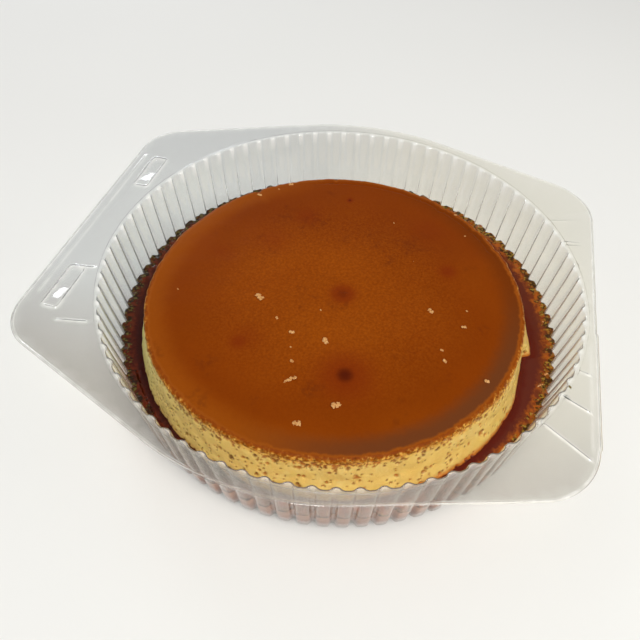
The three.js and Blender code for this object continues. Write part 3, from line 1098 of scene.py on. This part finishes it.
def make_finish_recipe():
    """The last step of a recipe: plain geometry in one material."""
    tree, w, given, out = new_tree(
        "finish", "GeometryNodeTree",
        [("Geometry", GEOMETRY, None), ("Material", MATERIAL, None)], [("Geometry", GEOMETRY)])
    real = w.add("GeometryNodeRealizeInstances", {"Geometry": given["Geometry"]}).outputs[0]
    done = w.add("GeometryNodeSetMaterial", {"Geometry": real, "Material": given["Material"]})
    w.plug(out.inputs["Geometry"], done.outputs[0])
    return tree


finish_with = make_finish_recipe()


def prick(obj, crowds):
    """Runs the pore recipe once for each crowd of bubbles."""
    for name in ("pore", "pore_tone"):
        paint(obj, name, np.zeros(len(obj.data.vertices)))
    for seed, crowd in enumerate(crowds):
        density, lowest, highest, smallest, largest, flatness, depth, fine = crowd
        use_tree(obj, pores, Density=density / MM ** 2, Lowest=lowest * MM, Highest=highest * MM,
                 Smallest=smallest * MM, Largest=largest * MM, Flatness=flatness,
                 Depth=depth * MM, Only_Where_Fine=fine, Seed=seed + 3)

# %% [markdown]
# ## A shared effect: the rim's colours
# Between the brown top and the yellow side there is a rim three millimetres high where the
# caramel thins out: brown, then orange, then amber, all ragged. The soaked layer and the
# custard below it both show it, so it is a group of its own. It takes the depth below the
# top surface in millimetres and gives a colour, and because both materials use the same
# numbers, the seam between the two pieces cannot be seen.

# %% Rim tones group
def make_rim_tones():
    tree, w, given, out = new_tree(
        "rim_tones", "ShaderNodeTree",
        [("Drop", FLOAT, 0.0), ("Seed", FLOAT, 0.0)], [("Color", COLOR)])
    rough = w.minus(mottle(w, 1.5, 0.15, given["Seed"]), 0.5)
    wide = w.minus(mottle(w, 6.0, 0.1, 8.5), 0.5)
    drop = w.plus(given["Drop"], w.times(rough, 1.3))
    drop = w.plus(drop, w.times(wide, 0.9))
    color = blend(w, w.step(drop, -0.1, 0.9), tone(138, 66, 10), tone(172, 94, 18))
    color = blend(w, w.step(drop, 0.8, 2.2), color, tone(204, 134, 36))
    color = blend(w, w.step(drop, 2.0, 3.6), color, tone(228, 182, 84))
    # Painted glints: small light yellow specks on the upper part of the rim.
    painted_glints = w.times(mottle(w, 1.3, 0.36, 9.5), w.step(drop, 0.2, 1.0, 0.0, 0.8))
    color = blend(w, painted_glints, color, tone(240, 190, 92))
    brown = w.times(mottle(w, 2.2, 0.38, 9.9), w.step(drop, 3.4, 2.4, 0.0, 0.75))
    color = blend(w, brown, color, tone(126, 56, 8))
    w.plug(out.inputs["Color"], color)
    return tree


rim_tones = make_rim_tones()

# %% [markdown]
# ## What the custard looks like
# Set custard is pale egg yellow and a touch translucent. Where its pores are fine, on the latch
# side, it is painted greener and duller, as painted shade, and the far latch side is painted
# lighter and greener, as painted light. Under the rim it is crowded with dark bubbles, further
# down the bubbles are olive or brown, and at the sauce's edge the caramel has crept up into it.
# All of that follows the height, made ragged by mottling, and the painted pores.

# %% Custard material
def make_custard_material():
    material, w, shader = new_material(
        "custard", Roughness=0.42, IOR=1.4, Subsurface_Weight=0.15, Subsurface_Scale=1.2 * MM,
        Coat_Weight=0.2, Coat_Roughness=0.22)
    shader.inputs["Subsurface Radius"].default_value = (1.0, 0.5, 0.15)
    parts = place_mm(w)
    ragged = w.minus(mottle(w, 2.2, 0.1, 3.0), 0.5)
    drop = w.minus(FLAN_TOP, parts["Z"])
    rise = w.minus(parts["Z"], SAUCE_LEVEL)
    rise = w.plus(rise, w.times(ragged, 0.9))
    plain = blend(w, mottle(w, 9, 0.15, 4.0), tone(228, 193, 102), tone(236, 208, 126))
    plain = blend(w, w.times(mottle(w, 3.5, 0.3, 5.0), 0.5), plain, tone(226, 186, 94))
    # Painted shade: on the fine-pored latch side the custard is painted greener and duller.
    fine = painted(w, "fine")
    plain = blend(w, w.times(fine, 0.75), plain, tone(218, 198, 120))
    from_axis = w.minus(parts["X"], float(FLAN[0]))
    # Painted light: the far latch side is painted lighter and greener.
    painted_light_latch_side = w.step(from_axis, -50.0, -90.0)
    plain = blend(w, w.times(painted_light_latch_side, 0.85), plain, tone(244, 236, 152))
    rim = w.group(rim_tones, {"Drop": drop, "Seed": 6.0}).outputs["Color"]
    edge = w.plus(drop, w.times(ragged, 1.6))
    edge = w.plus(edge, w.times(fine, 1.9))
    color = blend(w, w.step(edge, 5.4, 3.2), plain, rim)
    light_pore = blend(w, fine, tone(188, 112, 30), tone(158, 124, 56))
    dark_pore = blend(w, fine, tone(112, 66, 14), tone(120, 90, 34))
    bubble = blend(w, painted(w, "pore_tone"), dark_pore, light_pore)
    rusty = blend(w, painted(w, "pore_tone"), tone(122, 56, 8), tone(180, 98, 20))
    bubble = blend(w, w.step(drop, 6.5, 3.5), bubble, rusty)
    color = blend(w, w.times(painted(w, "pore"), 0.92), color, bubble)
    hinge_side = w.step(from_axis, 10.0, 80.0)
    reach = w.plus(0.25, w.times(hinge_side, 0.7))
    crept = w.times(w.step(rise, 4.2, 0.8), reach)
    color = blend(w, crept, color, tone(196, 104, 20))
    color = blend(w, w.step(rise, 1.3, 0.3), color, tone(88, 22, 4))
    w.plug(shader.inputs["Base Color"], color)
    bump(w, shader, mottle(w, 0.9, 0.1, 7.0), 0.10)
    return material


custard_finish = make_custard_material()
custard = custard_mesh()
# Each crowd: how many to a square millimetre, lowest and highest, smallest and largest radius,
# flatness, depth, and 1 if it keeps to the part that is painted fine.
prick(custard, [
    (0.028, 18.0, 37.5, 0.70, 1.35, 0.95, 0.70, 0.0),
    (0.050, 18.0, 37.0, 0.40, 0.75, 1.0, 0.45, 0.0),
    (0.0020, 19.0, 35.0, 1.5, 2.3, 1.0, 0.50, 0.0),
    (0.16, 18.0, 37.0, 0.36, 0.80, 1.0, 0.40, 1.0),
    (0.13, 34.5, 39.2, 0.65, 1.60, 1.0, 0.60, 0.0),
    (0.40, 36.6, 39.6, 0.36, 0.95, 1.0, 0.50, 0.0),
])
use_tree(custard, finish_with, Material=custard_finish)
bake(custard)

# %% [markdown]
# ## The soaked caramel layer
# The flan's top is nearly flat and has a soft sheen. Its edge is where the pan's corner was:
# rounded, ragged and pricked with bubbles, and chipped in places at the back. A shallow line
# runs along the back just inside the edge, where the pan's bottom turned up.

# %% Soaked layer shape
TOP_COLUMNS = 1240
EDGE_ROUND = 2.0
SOAKED_FOOT = CUSTARD_TOP - 0.05
CHIPS = [(134, 1.6, 2.2), (127, 0.9, 1.0), (119, 0.8, 1.3), (104, 0.9, 1.2), (62, 1.0, 2.4),
         (47, 0.8, 1.1), (36, 0.7, 1.8)]
top_angles = np.arange(TOP_COLUMNS) * 2 * math.pi / TOP_COLUMNS


def soaked_edge(a):
    """Radius of the soaked layer's ragged edge in a direction."""
    ring = flan_ring(TOP_RADIUS, FLAN_TOP, a)
    radius = top_radius(a) + 0.1 + 0.25 * wander(ring, 11, 5) + 0.18 * wander(ring, 2.6, 6)
    for at, depth, width in CHIPS:
        off = np.angle(np.exp(1j * (a - math.radians(at)))) * TOP_RADIUS
        radius -= depth * np.exp(-((off / width) ** 2))
    return radius


def top_height(ring, inset):
    """How far the top surface is from flat, for a ring this far inside the edge."""
    away = ring[:, :2] - FLAN
    at = np.degrees(np.arctan2(away[:, 1], away[:, 0]))
    slow = 0.16 * wander(ring, 34, 7) + 0.04 * wander(ring, 7, 8)
    behind = smooth(at, 28, 42) * (1 - smooth(at, 100, 118))
    line = -0.35 * np.exp(-(((inset - 5.2) / 0.6) ** 2)) * behind
    return slow * smooth(inset, 0, 8) + line


def soaked_mesh():
    edge = soaked_edge(top_angles)
    rings = [flan_ring(edge - 0.1, SOAKED_FOOT, top_angles)]
    insets = [np.zeros(TOP_COLUMNS)]

    def add(radius, drop):
        ring = flan_ring(radius, FLAN_TOP - drop, top_angles)
        rings.append(ring)
        insets.append(edge - radius)

    add(edge, FLAN_TOP - SOAKED_FOOT - 0.25)
    for t in np.radians([0, 12, 24, 36, 48, 60, 72, 82, 90]):
        add(edge - EDGE_ROUND * (1 - math.cos(t)), EDGE_ROUND * (1 - math.sin(t)))
    flat = [edge - EDGE_ROUND - inset for inset in np.arange(0.4, 6.4, 0.4)]
    flat += [2.5 + (edge - 8.8 - 2.5) * share for share in np.linspace(1, 0, 35)]
    for radius in flat:
        add(radius, 0.0)
        rings[-1][:, 2] += top_height(rings[-1], insets[-1])
    first = (FLAN[0], FLAN[1], SOAKED_FOOT)
    last = (FLAN[0], FLAN[1], FLAN_TOP)
    layer = stack_mesh("soaked_caramel_layer", np.array(rings), first, last)
    paint(layer, "inset", [*np.concatenate(insets), 90.0, 90.0])
    return layer

# %% [markdown]
# ## What the soaked caramel looks like
# The caramel is a warm brown with wide clouds, fine grain where it is thinnest, and a few dark
# spots where bubbles of burnt sugar lay. Towards the front edge a dusky band is painted in, a
# painted reflection, and the edge is painted darker on the hinge side, as painted shade, and
# lighter on the latch side, as painted light. Then comes the ragged amber rim. The spots are
# listed by place and size and painted on the mesh. The clouds and the grain are nodes, and the
# rim is the shared group.

# %% Stains, and painted light and shade, on the top
# Each stain: place from the flan's axis, radius and strength.
STAINS = [(4, 0, 6.2, 0.72), (17, -48.7, 6.2, 1.0), (17, -48.7, 15.0, 0.5),
          (-36, -44, 5.0, 0.45), (-33, -40, 10.0, 0.25), (53.6, 30.4, 5.0, 0.5),
          (-9.9, 73.7, 1.7, 1.0), (-42, 28, 11.0, 0.25), (-30, 52, 9.0, 0.3),
          (38, 60, 13.0, 0.25), (-66, 12, 7.0, 0.2)]
# Each side of the top whose edge gets painted light or shade: its direction in degrees, and the
# cosines of the angle from it at which the tone starts and is full. The front gets a painted
# reflection, the hinge side painted shade and the latch side painted light.
LIGHT_AND_SHADE_SIDES = {"front": (-42, 0.42, 1.0), "hinge_side": (24, 0.35, 1.0), "latch_side": (200, -0.2, 0.5)}


def paint_stains_and_light(obj):
    spots = points_mm(obj)
    away = spots[:, :2] - FLAN
    dark = np.zeros(len(spots))
    for x, y, radius, strength in STAINS:
        gap = np.linalg.norm(away - [x, y], axis=1)
        dark = np.maximum(dark, strength * np.exp(-((gap / radius) ** 2)))
    paint(obj, "stain", dark)
    at = np.arctan2(away[:, 1], away[:, 0])
    for name, (direction, start, full) in LIGHT_AND_SHADE_SIDES.items():
        paint(obj, name, smooth(np.cos(at - math.radians(direction)), start, full))
    r = np.linalg.norm((away - [-4, -6]) * [1.0, 1.12], axis=1) + 11 * wander(spots, 34, 10)
    paint(obj, "ring", smooth(r, 22, 76) * (1 - 0.3 * smooth(r, 74, 90)))
    paint(obj, "back", smooth(away[:, 1] + 8 * wander(spots, 30, 9), 26, 58))


def make_soaked_material():
    material, w, shader = new_material("soaked_caramel", IOR=1.42)
    shader.inputs["Specular IOR Level"].default_value = 0.06
    parts = place_mm(w)
    ragged = w.minus(mottle(w, 3.0, 0.1, 11.0), 0.5)
    inset = w.plus(painted(w, "inset"), w.times(ragged, 1.6))
    warm = blend(w, mottle(w, 38, 0.15, 12.0), tone(134, 60, 2), tone(148, 70, 5))
    color = blend(w, w.times(painted(w, "ring"), 0.8), warm, tone(118, 48, 0))
    clouds = w.times(mottle(w, 24, 0.2, 13.0), 0.5)
    color = blend(w, clouds, color, tone(128, 52, 1))
    color = blend(w, w.times(painted(w, "back"), 0.35), color, tone(112, 42, 3))
    # Painted light and shade at the edge: lighter on the latch side, as painted light, and darker
    # on the hinge side, as painted shade.
    edge_zone = w.step(inset, 16.0, 4.0)
    painted_light_edge = w.times(w.times(edge_zone, painted(w, "latch_side")), 0.7)
    color = blend(w, painted_light_edge, color, tone(146, 73, 10))
    painted_shade_edge = w.times(w.times(edge_zone, painted(w, "hinge_side")), 0.85)
    color = blend(w, painted_shade_edge, color, tone(106, 46, 4))
    middle = w.step(painted(w, "inset"), 12.0, 55.0, 0.15, 1.0)
    grain = w.times(mottle(w, 1.0, 0.3, 14.0), w.times(middle, 0.34))
    color = blend(w, grain, color, tone(168, 86, 16))
    dark_grain = w.times(mottle(w, 1.3, 0.36, 14.5), w.times(middle, 0.3))
    color = blend(w, dark_grain, color, tone(104, 42, 2))
    stain = painted(w, "stain")
    color = blend(w, w.step(stain, 0.0, 0.5, 0.0, 0.75), color, tone(118, 40, 4))
    color = blend(w, w.step(stain, 0.45, 1.0, 0.0, 0.85), color, tone(72, 18, 4))
    spread = w.step(mottle(w, 16, 0.2, 16.0), 0.7, 0.95)
    flecks = w.times(mottle(w, 2.6, 0.42, 15.0), spread)
    color = blend(w, w.times(flecks, 0.3), color, tone(84, 30, 8))
    # Painted reflection: a dusky grey-brown band along the front edge.
    front = painted(w, "front")
    painted_dusk_reflection = w.times(w.times(w.step(inset, 14.0, 5.5), front), 0.9)
    color = blend(w, painted_dusk_reflection, color, tone(103, 56, 27))
    color = blend(w, w.step(inset, 3.6, 2.2), color, tone(146, 74, 16))
    drop = w.minus(FLAN_TOP, parts["Z"])
    rim = w.group(rim_tones, {"Drop": drop, "Seed": 6.0}).outputs["Color"]
    color = blend(w, w.step(inset, 2.4, 1.5), color, rim)
    bubble = blend(w, painted(w, "pore_tone"), tone(84, 40, 8), tone(136, 66, 12))
    color = blend(w, w.times(painted(w, "pore"), 0.85), color, bubble)
    w.plug(shader.inputs["Base Color"], color)
    w.plug(shader.inputs["Roughness"], w.step(inset, 0.0, 4.0, 0.42, 0.28))
    bump(w, shader, mottle(w, 1.3, 0.1, 18.0), 0.03)
    return material


soaked_finish = make_soaked_material()
soaked = soaked_mesh()
paint_stains_and_light(soaked)
prick(soaked, [(0.6, SOAKED_FOOT - 1, FLAN_TOP - 0.3, 0.25, 0.62, 1.0, 0.4, 0.0)])
use_tree(soaked, finish_with, Material=soaked_finish)
bake(soaked)

# %% [markdown]
# ## The pool of sauce
# The sauce fills the tray round the flan's foot. It is one closed ring: the surface, with a
# small rise where it wets the custard and the plastic, and lumps where it dried against the
# wall; the outer skin, which follows every flute and reaches just into the wall; the bottom;
# and an inner skin hidden in the custard. The flute recipe shapes it, with the same values as
# the tray, so the two fit.

# %% Sauce shape
INTO_WALL = 0.2
MENISCUS = 0.55
CRUST = 0.34
# Rings of the surface: first as shares of its width, then as distances from the wall.
OPEN_SHARES = (0, 0.06, 0.13, 0.22, 0.34, 0.48)
NEAR_WALL = (5.6, 4.9, 4.2, 3.5, 2.9, 2.3, 1.8, 1.3, 0.9, 0.5, 0.2, 0)
SKIN_LEVELS = (17, 14, 10, 7, 5.2)
INNER_SKIN = BOTTOM_RADIUS - 6


def sauce_mesh():
    angles = cup_angles
    ahead = np.stack([np.cos(angles), np.sin(angles)], axis=1)
    shift = FLAN - CUP
    inner = np.zeros(len(angles))
    for _ in range(6):
        around = ahead * inner[:, None] - shift
        at = np.arctan2(around[:, 1], around[:, 0])
        foot = foot_radius(at) - 1.0
        along = ahead @ shift
        inner = along + np.sqrt(along ** 2 - shift @ shift + foot ** 2)
    outer = bulge_radius(SAUCE_LEVEL) + INTO_WALL
    rings, share = [], []

    def add(radius, z, fluted):
        z = np.broadcast_to(z, angles.shape)
        x = CUP[0] + radius * np.cos(angles)
        rings.append(np.stack([x, CUP[1] + radius * np.sin(angles), z], axis=1))
        share.append(np.broadcast_to(fluted, angles.shape))

    bottom = FLOOR_TOP - 0.15
    width = outer - inner
    across = [width * share for share in OPEN_SHARES]
    across += [width * 0.48 + (width * 0.52 - 5.6) * t for t in (0.34, 0.67)]
    across += [width - gap for gap in NEAR_WALL]
    for offset in across:
        radius = inner + offset
        inside, outside = offset - 1.0, width - offset
        spots = np.stack([radius * np.cos(angles), radius * np.sin(angles), 0 * angles], axis=1)
        dried = CRUST * np.exp(-outside / 3.5) * (wander(spots, 1.9, 25) + wander(spots, 4.5, 26))
        crept = MENISCUS * (1 + wander(spots, 3.0, 27)) * np.exp(-outside / 0.6)
        rise = MENISCUS * np.exp(-np.maximum(inside, 0) / 0.7) + crept + dried
        add(radius, SAUCE_LEVEL + rise, smooth(offset / width, 0.45, 0.9))
    for z in SKIN_LEVELS:
        add(bulge_radius(z) + INTO_WALL, z, 1.0)
    edge = bulge_radius(0) - FLOOR_FILLET
    for t in np.radians([70, 45, 20, 0]):
        add(edge + (FLOOR_FILLET + INTO_WALL) * math.sin(t),
            bottom + (FLOOR_FILLET + INTO_WALL) * (1 - math.cos(t)), 1.0)
    for r in (104, 99):
        add(r, bottom, float(smooth(r, FLOOR_FLUTES_FROM, edge)))
    add(INNER_SKIN, bottom, 0.0)
    add(INNER_SKIN, 8.0, 0.0)
    pool = stack_mesh("caramel_sauce_pool", np.array(rings)[:, ::-1], loop=True)
    paint(pool, "fluted", np.array(share)[:, ::-1])
    spots = points_mm(pool)[:, :2]
    away = spots - FLAN
    at = np.arctan2(away[:, 1], away[:, 0])
    paint(pool, "from_custard", np.linalg.norm(away, axis=1) - foot_radius(at))
    paint(pool, "from_wall", outer - np.linalg.norm(spots - CUP, axis=1))
    return pool

# %% [markdown]
# ## What the sauce looks like
# Caramel sauce is nearly black where it is deep and glows orange where light comes through a
# thin part. So it is dark red beside the custard, a dull purple brown in the open, orange in
# the mouths of the flutes and olive black at their tips, where it dried on the plastic. How
# far a point is from the custard and from the wall is painted on the mesh. Behind the wall
# the sauce shows its side, paler because the light comes through it from the front.

# %% Sauce material
def make_sauce_material():
    material, w, shader = new_material("caramel_sauce", Roughness=0.1, IOR=1.42)
    shader.inputs["Specular IOR Level"].default_value = 0.3
    parts = place_mm(w)
    lit = w.step(w.minus(parts["X"], float(CUP[0])), -30.0, 70.0)
    wide = w.minus(mottle(w, 4.2, 0.25, 21.0), 0.5)
    small = w.minus(mottle(w, 1.5, 0.25, 22.0), 0.5)
    from_wall = w.plus(painted(w, "from_wall"), w.times(wide, 3.0))
    from_wall = w.plus(from_wall, w.times(small, 2.2))
    from_custard = w.plus(painted(w, "from_custard"), w.times(wide, 1.5))
    open_pool = blend(w, lit, tone(56, 14, 6), tone(88, 33, 17))
    beside = blend(w, lit, tone(48, 10, 4), tone(84, 20, 2))
    color = blend(w, w.step(from_custard, 1.5, 4.5), beside, open_pool)
    glow = blend(w, lit, tone(96, 34, 8), tone(158, 80, 16))
    patchy = w.times(w.step(from_wall, 8.5, 5.5), w.step(wide, -0.2, 0.3, 0.15, 0.95))
    color = blend(w, patchy, color, glow)
    olive = blend(w, lit, tone(34, 22, 8), tone(58, 36, 8))
    glints = blend(w, lit, tone(92, 84, 34), tone(150, 124, 40))
    rust = blend(w, lit, tone(70, 28, 8), tone(136, 74, 16))
    olive = blend(w, w.step(mottle(w, 2.4, 0.3, 27.0), 0.45, 0.7), olive, rust)
    olive = blend(w, w.step(mottle(w, 1.3, 0.3, 26.0), 0.62, 0.9), olive, glints)
    dried = w.step(w.plus(from_wall, w.times(small, 2.5)), 4.2, 2.8, 0.0, 0.95)
    color = blend(w, dried, color, olive)
    depth = w.minus(SAUCE_LEVEL, parts["Z"])
    through_wall = blend(w, mottle(w, 7, 0.15, 23.0), tone(158, 118, 94), tone(188, 146, 112))
    low = w.step(parts["Z"], 15.0, 8.0)
    through_wall = blend(w, low, through_wall, tone(140, 90, 68))
    low = w.step(parts["Z"], 9.0, 3.0)
    through_wall = blend(w, low, through_wall, tone(96, 58, 48))
    latch_side = w.step(parts["X"], -15.0, -75.0)
    through_wall = blend(w, latch_side, through_wall, tone(126, 66, 24))
    color = blend(w, w.step(depth, 0.8, 2.0), color, through_wall)
    w.plug(shader.inputs["Base Color"], color)
    bump(w, shader, mottle(w, 6, 0.0, 24.0), 0.05)
    return material


sauce_finish = make_sauce_material()
sauce = sauce_mesh()
use_tree(sauce, press_flutes, **FLUTE_VALUES)
use_tree(sauce, finish_with, Material=sauce_finish)
bake(sauce)

# %% [markdown]
# ## Crumbs
# Small torn crumbs of custard lie on the top, a few shreds float on the sauce, and one is
# caught on the flange. Each crumb is a lump of a few dented flakes. Three lumps are made, and
# a recipe places one of them, turned and scaled, at each point of a small mesh that has
# nothing but points. Realize Instances turns them all into one real mesh.

# %% Lumps
def lump(name, seed, flakes, stretch):
    """A torn crumb about one millimetre across: flat flakes that overlap, dented all over."""
    rng = np.random.default_rng(seed)
    noise.seed_set(seed)  # noise_vector would otherwise take its seed from the clock
    work = bmesh.new()
    for k in range(flakes):
        size = rng.uniform(0.24, 0.42)
        along = (k / max(flakes - 1, 1) - 0.5) * stretch
        middle = (along, rng.uniform(-0.22, 0.22), size * 0.35 + rng.uniform(0, 0.1))
        shape = (size * rng.uniform(0.8, 1.5), size * rng.uniform(0.5, 1.0), size * 0.55, 1)
        turn = Matrix.Rotation(rng.uniform(0, math.pi), 4, "Z")
        place = Matrix.Translation(middle) @ turn @ Matrix.Diagonal(shape)
        bmesh.ops.create_icosphere(work, subdivisions=3, radius=1, matrix=place)
    for v in work.verts:
        place = v.co.copy()
        for size, depth in ((2.6, 0.16), (6.5, 0.09), (13.0, 0.04)):
            v.co += noise.noise_vector(place * size + Vector((seed, 0, 0))) * depth
        v.co.z = max(v.co.z, -0.1)
        v.co *= MM
    mesh = bpy.data.meshes.new(name)
    work.to_mesh(mesh)
    work.free()
    mesh.shade_smooth()
    return bpy.data.objects.new(name, mesh)


lumps = bpy.data.collections.new("crumb_lumps")
bpy.context.scene.collection.children.link(lumps)
for number, (balls, stretch) in enumerate([(5, 0.45), (6, 0.9), (9, 2.4)]):
    lumps.objects.link(lump(f"lump_{number}", 40 + number, balls, stretch))

# %% [markdown]
# The crumbs' places are given from the flan's axis, with a size for each. The
# number at the end picks the lump: 0 is round, 1 is long and 2 is a thin shred.

# %% Crumb places
CRUMBS_ON_TOP = [
    (-35.6, -14.2, 3.0, 1), (3.6, -32.2, 3.4, 0), (-6.2, -58.2, 2.3, 2), (3.2, -78.5, 2.4, 1),
    (17, -65.2, 2.8, 1), (-23.1, -25, 1.7, 0), (-13.5, -31.4, 1.7, 1), (-11.3, -40.2, 1.0, 0),
    (-8.4, -47.9, 1.9, 0), (49, 0.7, 1.9, 1), (66, -5.1, 1.5, 1), (66.3, 5.7, 1.1, 0),
    (57.6, -22.2, 1.1, 1), (59.8, -28.2, 2.0, 0), (79.7, -34.1, 1.5, 1), (-3.8, -14, 0.9, 0),
    (-77.3, -20.7, 1.0, 0), (18.9, 60.9, 0.8, 0), (59.2, 61.4, 0.9, 0), (35, 33, 0.7, 0),
    (-62.4, 63.1, 1.6, 1), (-47.5, 78.1, 1.7, 1), (-53, 71.5, 1.0, 0), (52, 78, 1.2, 1),
]
CRUMBS_IN_SAUCE = [(112.3, -4.3, 1.4, 1), (109.5, -12, 1.2, 2), (88.4, -64.8, 1.0, 1),
                   (109.6, 31, 0.9, 0), (106.5, -30, 0.7, 0), (99, -52, 0.8, 0)]
CRUMB_ON_FLANGE = (111.7, -43.9, 1.3, 0)


def crumb_points():
    places, sizes, kinds = [], [], []

    def drop(x, y, z, size, kind):
        places.append((x, y, z))
        sizes.append(size)
        kinds.append(kind)

    for x, y, size, kind in CRUMBS_ON_TOP:
        drop(FLAN[0] + x, FLAN[1] + y, FLAN_TOP - 0.12 * size, size, kind)
    for x, y, size, kind in CRUMBS_IN_SAUCE:
        drop(FLAN[0] + x, FLAN[1] + y, SAUCE_LEVEL - 0.2 * size, size, kind)
    x, y, size, kind = CRUMB_ON_FLANGE
    drop(CUP[0] + x, CUP[1] + y, FLANGE_TOP - 0.1, size, kind)
    cloud = mesh_object("custard_crumbs", places, [])
    paint(cloud, "size", sizes)
    paint(cloud, "kind", kinds)
    paint(cloud, "olive", [0.0] * (len(places) - 1) + [1.0])
    return cloud


def make_crumb_recipe():
    tree, w, given, out = new_tree(
        "strew_crumbs", "GeometryNodeTree",
        [("Geometry", GEOMETRY, None), ("Lumps", "NodeSocketCollection", None), ("Seed", INT, 5),
         ("Material", MATERIAL, None)],
        [("Geometry", GEOMETRY)])
    kinds = w.add("GeometryNodeCollectionInfo", {
        "Collection": given["Lumps"], "Separate Children": True, "Reset Children": True})
    size, kind = w.named("size"), w.named("kind")
    turn = w.add("FunctionNodeRandomValue", data_type="FLOAT_VECTOR")
    turn.inputs[0].default_value = (-0.3, -0.3, -0.5)
    turn.inputs[1].default_value = (0.3, 0.3, 0.9)
    w.plug(turn.inputs["Seed"], given["Seed"])
    placed = w.add("GeometryNodeInstanceOnPoints", {
        "Points": given["Geometry"], "Instance": kinds.outputs[0], "Pick Instance": True,
        "Instance Index": kind, "Rotation": turn.outputs[0], "Scale": size})
    real = w.add("GeometryNodeRealizeInstances", {"Geometry": placed.outputs[0]}).outputs[0]
    done = w.add("GeometryNodeSetMaterial", {"Geometry": real, "Material": given["Material"]})
    w.plug(out.inputs["Geometry"], done.outputs[0])
    return tree

# %% [markdown]
# Crumbs are dry custard, tan and a little darker where they drank some caramel.

# %% Crumb material and crumbs
def make_crumb_material():
    material, w, shader = new_material("crumb", Roughness=0.5, IOR=1.4)
    color = blend(w, mottle(w, 0.9, 0.25, 31.0), tone(190, 126, 60), tone(222, 172, 110))
    color = blend(w, painted(w, "olive"), color, tone(120, 104, 52))
    w.plug(shader.inputs["Base Color"], color)
    bump(w, shader, mottle(w, 0.5, 0.1, 32.0), 0.12)
    return material


crumbs = crumb_points()
use_tree(crumbs, make_crumb_recipe(), Lumps=lumps, Material=make_crumb_material())
bake(crumbs)
for made in list(lumps.objects):
    bpy.data.objects.remove(made)
bpy.data.collections.remove(lumps)

# %% [markdown]
# ## Handing the pieces to the frame
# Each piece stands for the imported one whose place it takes, and rides on the only body.

# %% Replace and ride
for piece, node, slot in ((tray, "tray", "clear_plastic"), (custard, "custard", "custard"),
                          (soaked, "caramel_top", "soaked_caramel"),
                          (sauce, "caramel_sauce", "caramel_sauce")):
    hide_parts(node)
    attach(piece, "root")
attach(crumbs, "root")

# %% [markdown]
# ## Floor and light
# A pale floor, soft lamps and a dim room. The top of the flan is a dull mirror, so no lamp
# stands where the camera would see it reflected there, high behind the tray. A low lamp
# behind on the left gives the ridges their sparkle and lights the pockets' ramps.

# %% Floor
FLOOR_HALF = 2500
FLOOR_LEVEL = -0.3

corners = [(-1, -1), (1, -1), (1, 1), (-1, 1)]
floor = mesh_object(
    "floor", [(x * FLOOR_HALF, y * FLOOR_HALF, FLOOR_LEVEL) for x, y in corners], [[0, 1, 2, 3]])
floor_finish, floor_w, floor_shader = new_material("floor", Roughness=0.9)
floor_shader.inputs["Specular IOR Level"].default_value = 0.1
floor_color = blend(floor_w, mottle(floor_w, 400, 0.1, 41.0), tone(236, 236, 234),
                    tone(240, 240, 238))
floor_w.plug(floor_shader.inputs["Base Color"], floor_color)
floor.data.materials.append(floor_finish)

# %% Lamps and the room
ROOM_LIGHT = 0.38

room = bpy.data.worlds.new("room")
room.use_nodes = True
room.node_tree.nodes["Background"].inputs["Color"].default_value = (0.98, 0.98, 0.97, 1)
room.node_tree.nodes["Background"].inputs["Strength"].default_value = ROOM_LIGHT
bpy.context.scene.world = room
bpy.context.scene.view_settings.view_transform = "Standard"


def lamp(name, turn, up, distance, size, power, color):
    """A square soft lamp that faces the flan: turn is measured from the front, to the right."""
    light = bpy.data.lights.new(name, "AREA")
    light.size = size
    light.energy = power
    light.color = color
    made = bpy.data.objects.new(name, light)
    bpy.context.scene.collection.objects.link(made)
    turn, up = math.radians(turn), math.radians(up)
    away = Vector((math.sin(turn) * math.cos(up), -math.cos(turn) * math.cos(up), math.sin(up)))
    made.location = away * distance
    made.rotation_euler = away.to_track_quat("Z", "Y").to_euler()


lamp("key", 55, 48, 1.5, 0.9, 10.5, (1.0, 0.97, 0.91))
lamp("glints", 6, 66, 1.5, 0.2, 2.2, (1.0, 1.0, 1.0))
lamp("overhead", 0, 78, 1.6, 1.0, 5.8, (1.0, 0.99, 0.96))
lamp("fill", -70, 40, 1.6, 0.8, 1.6, (0.9, 0.95, 1.0))
lamp("sparkle", -144, 22, 1.2, 0.3, 1.8, (0.93, 0.95, 1.0))
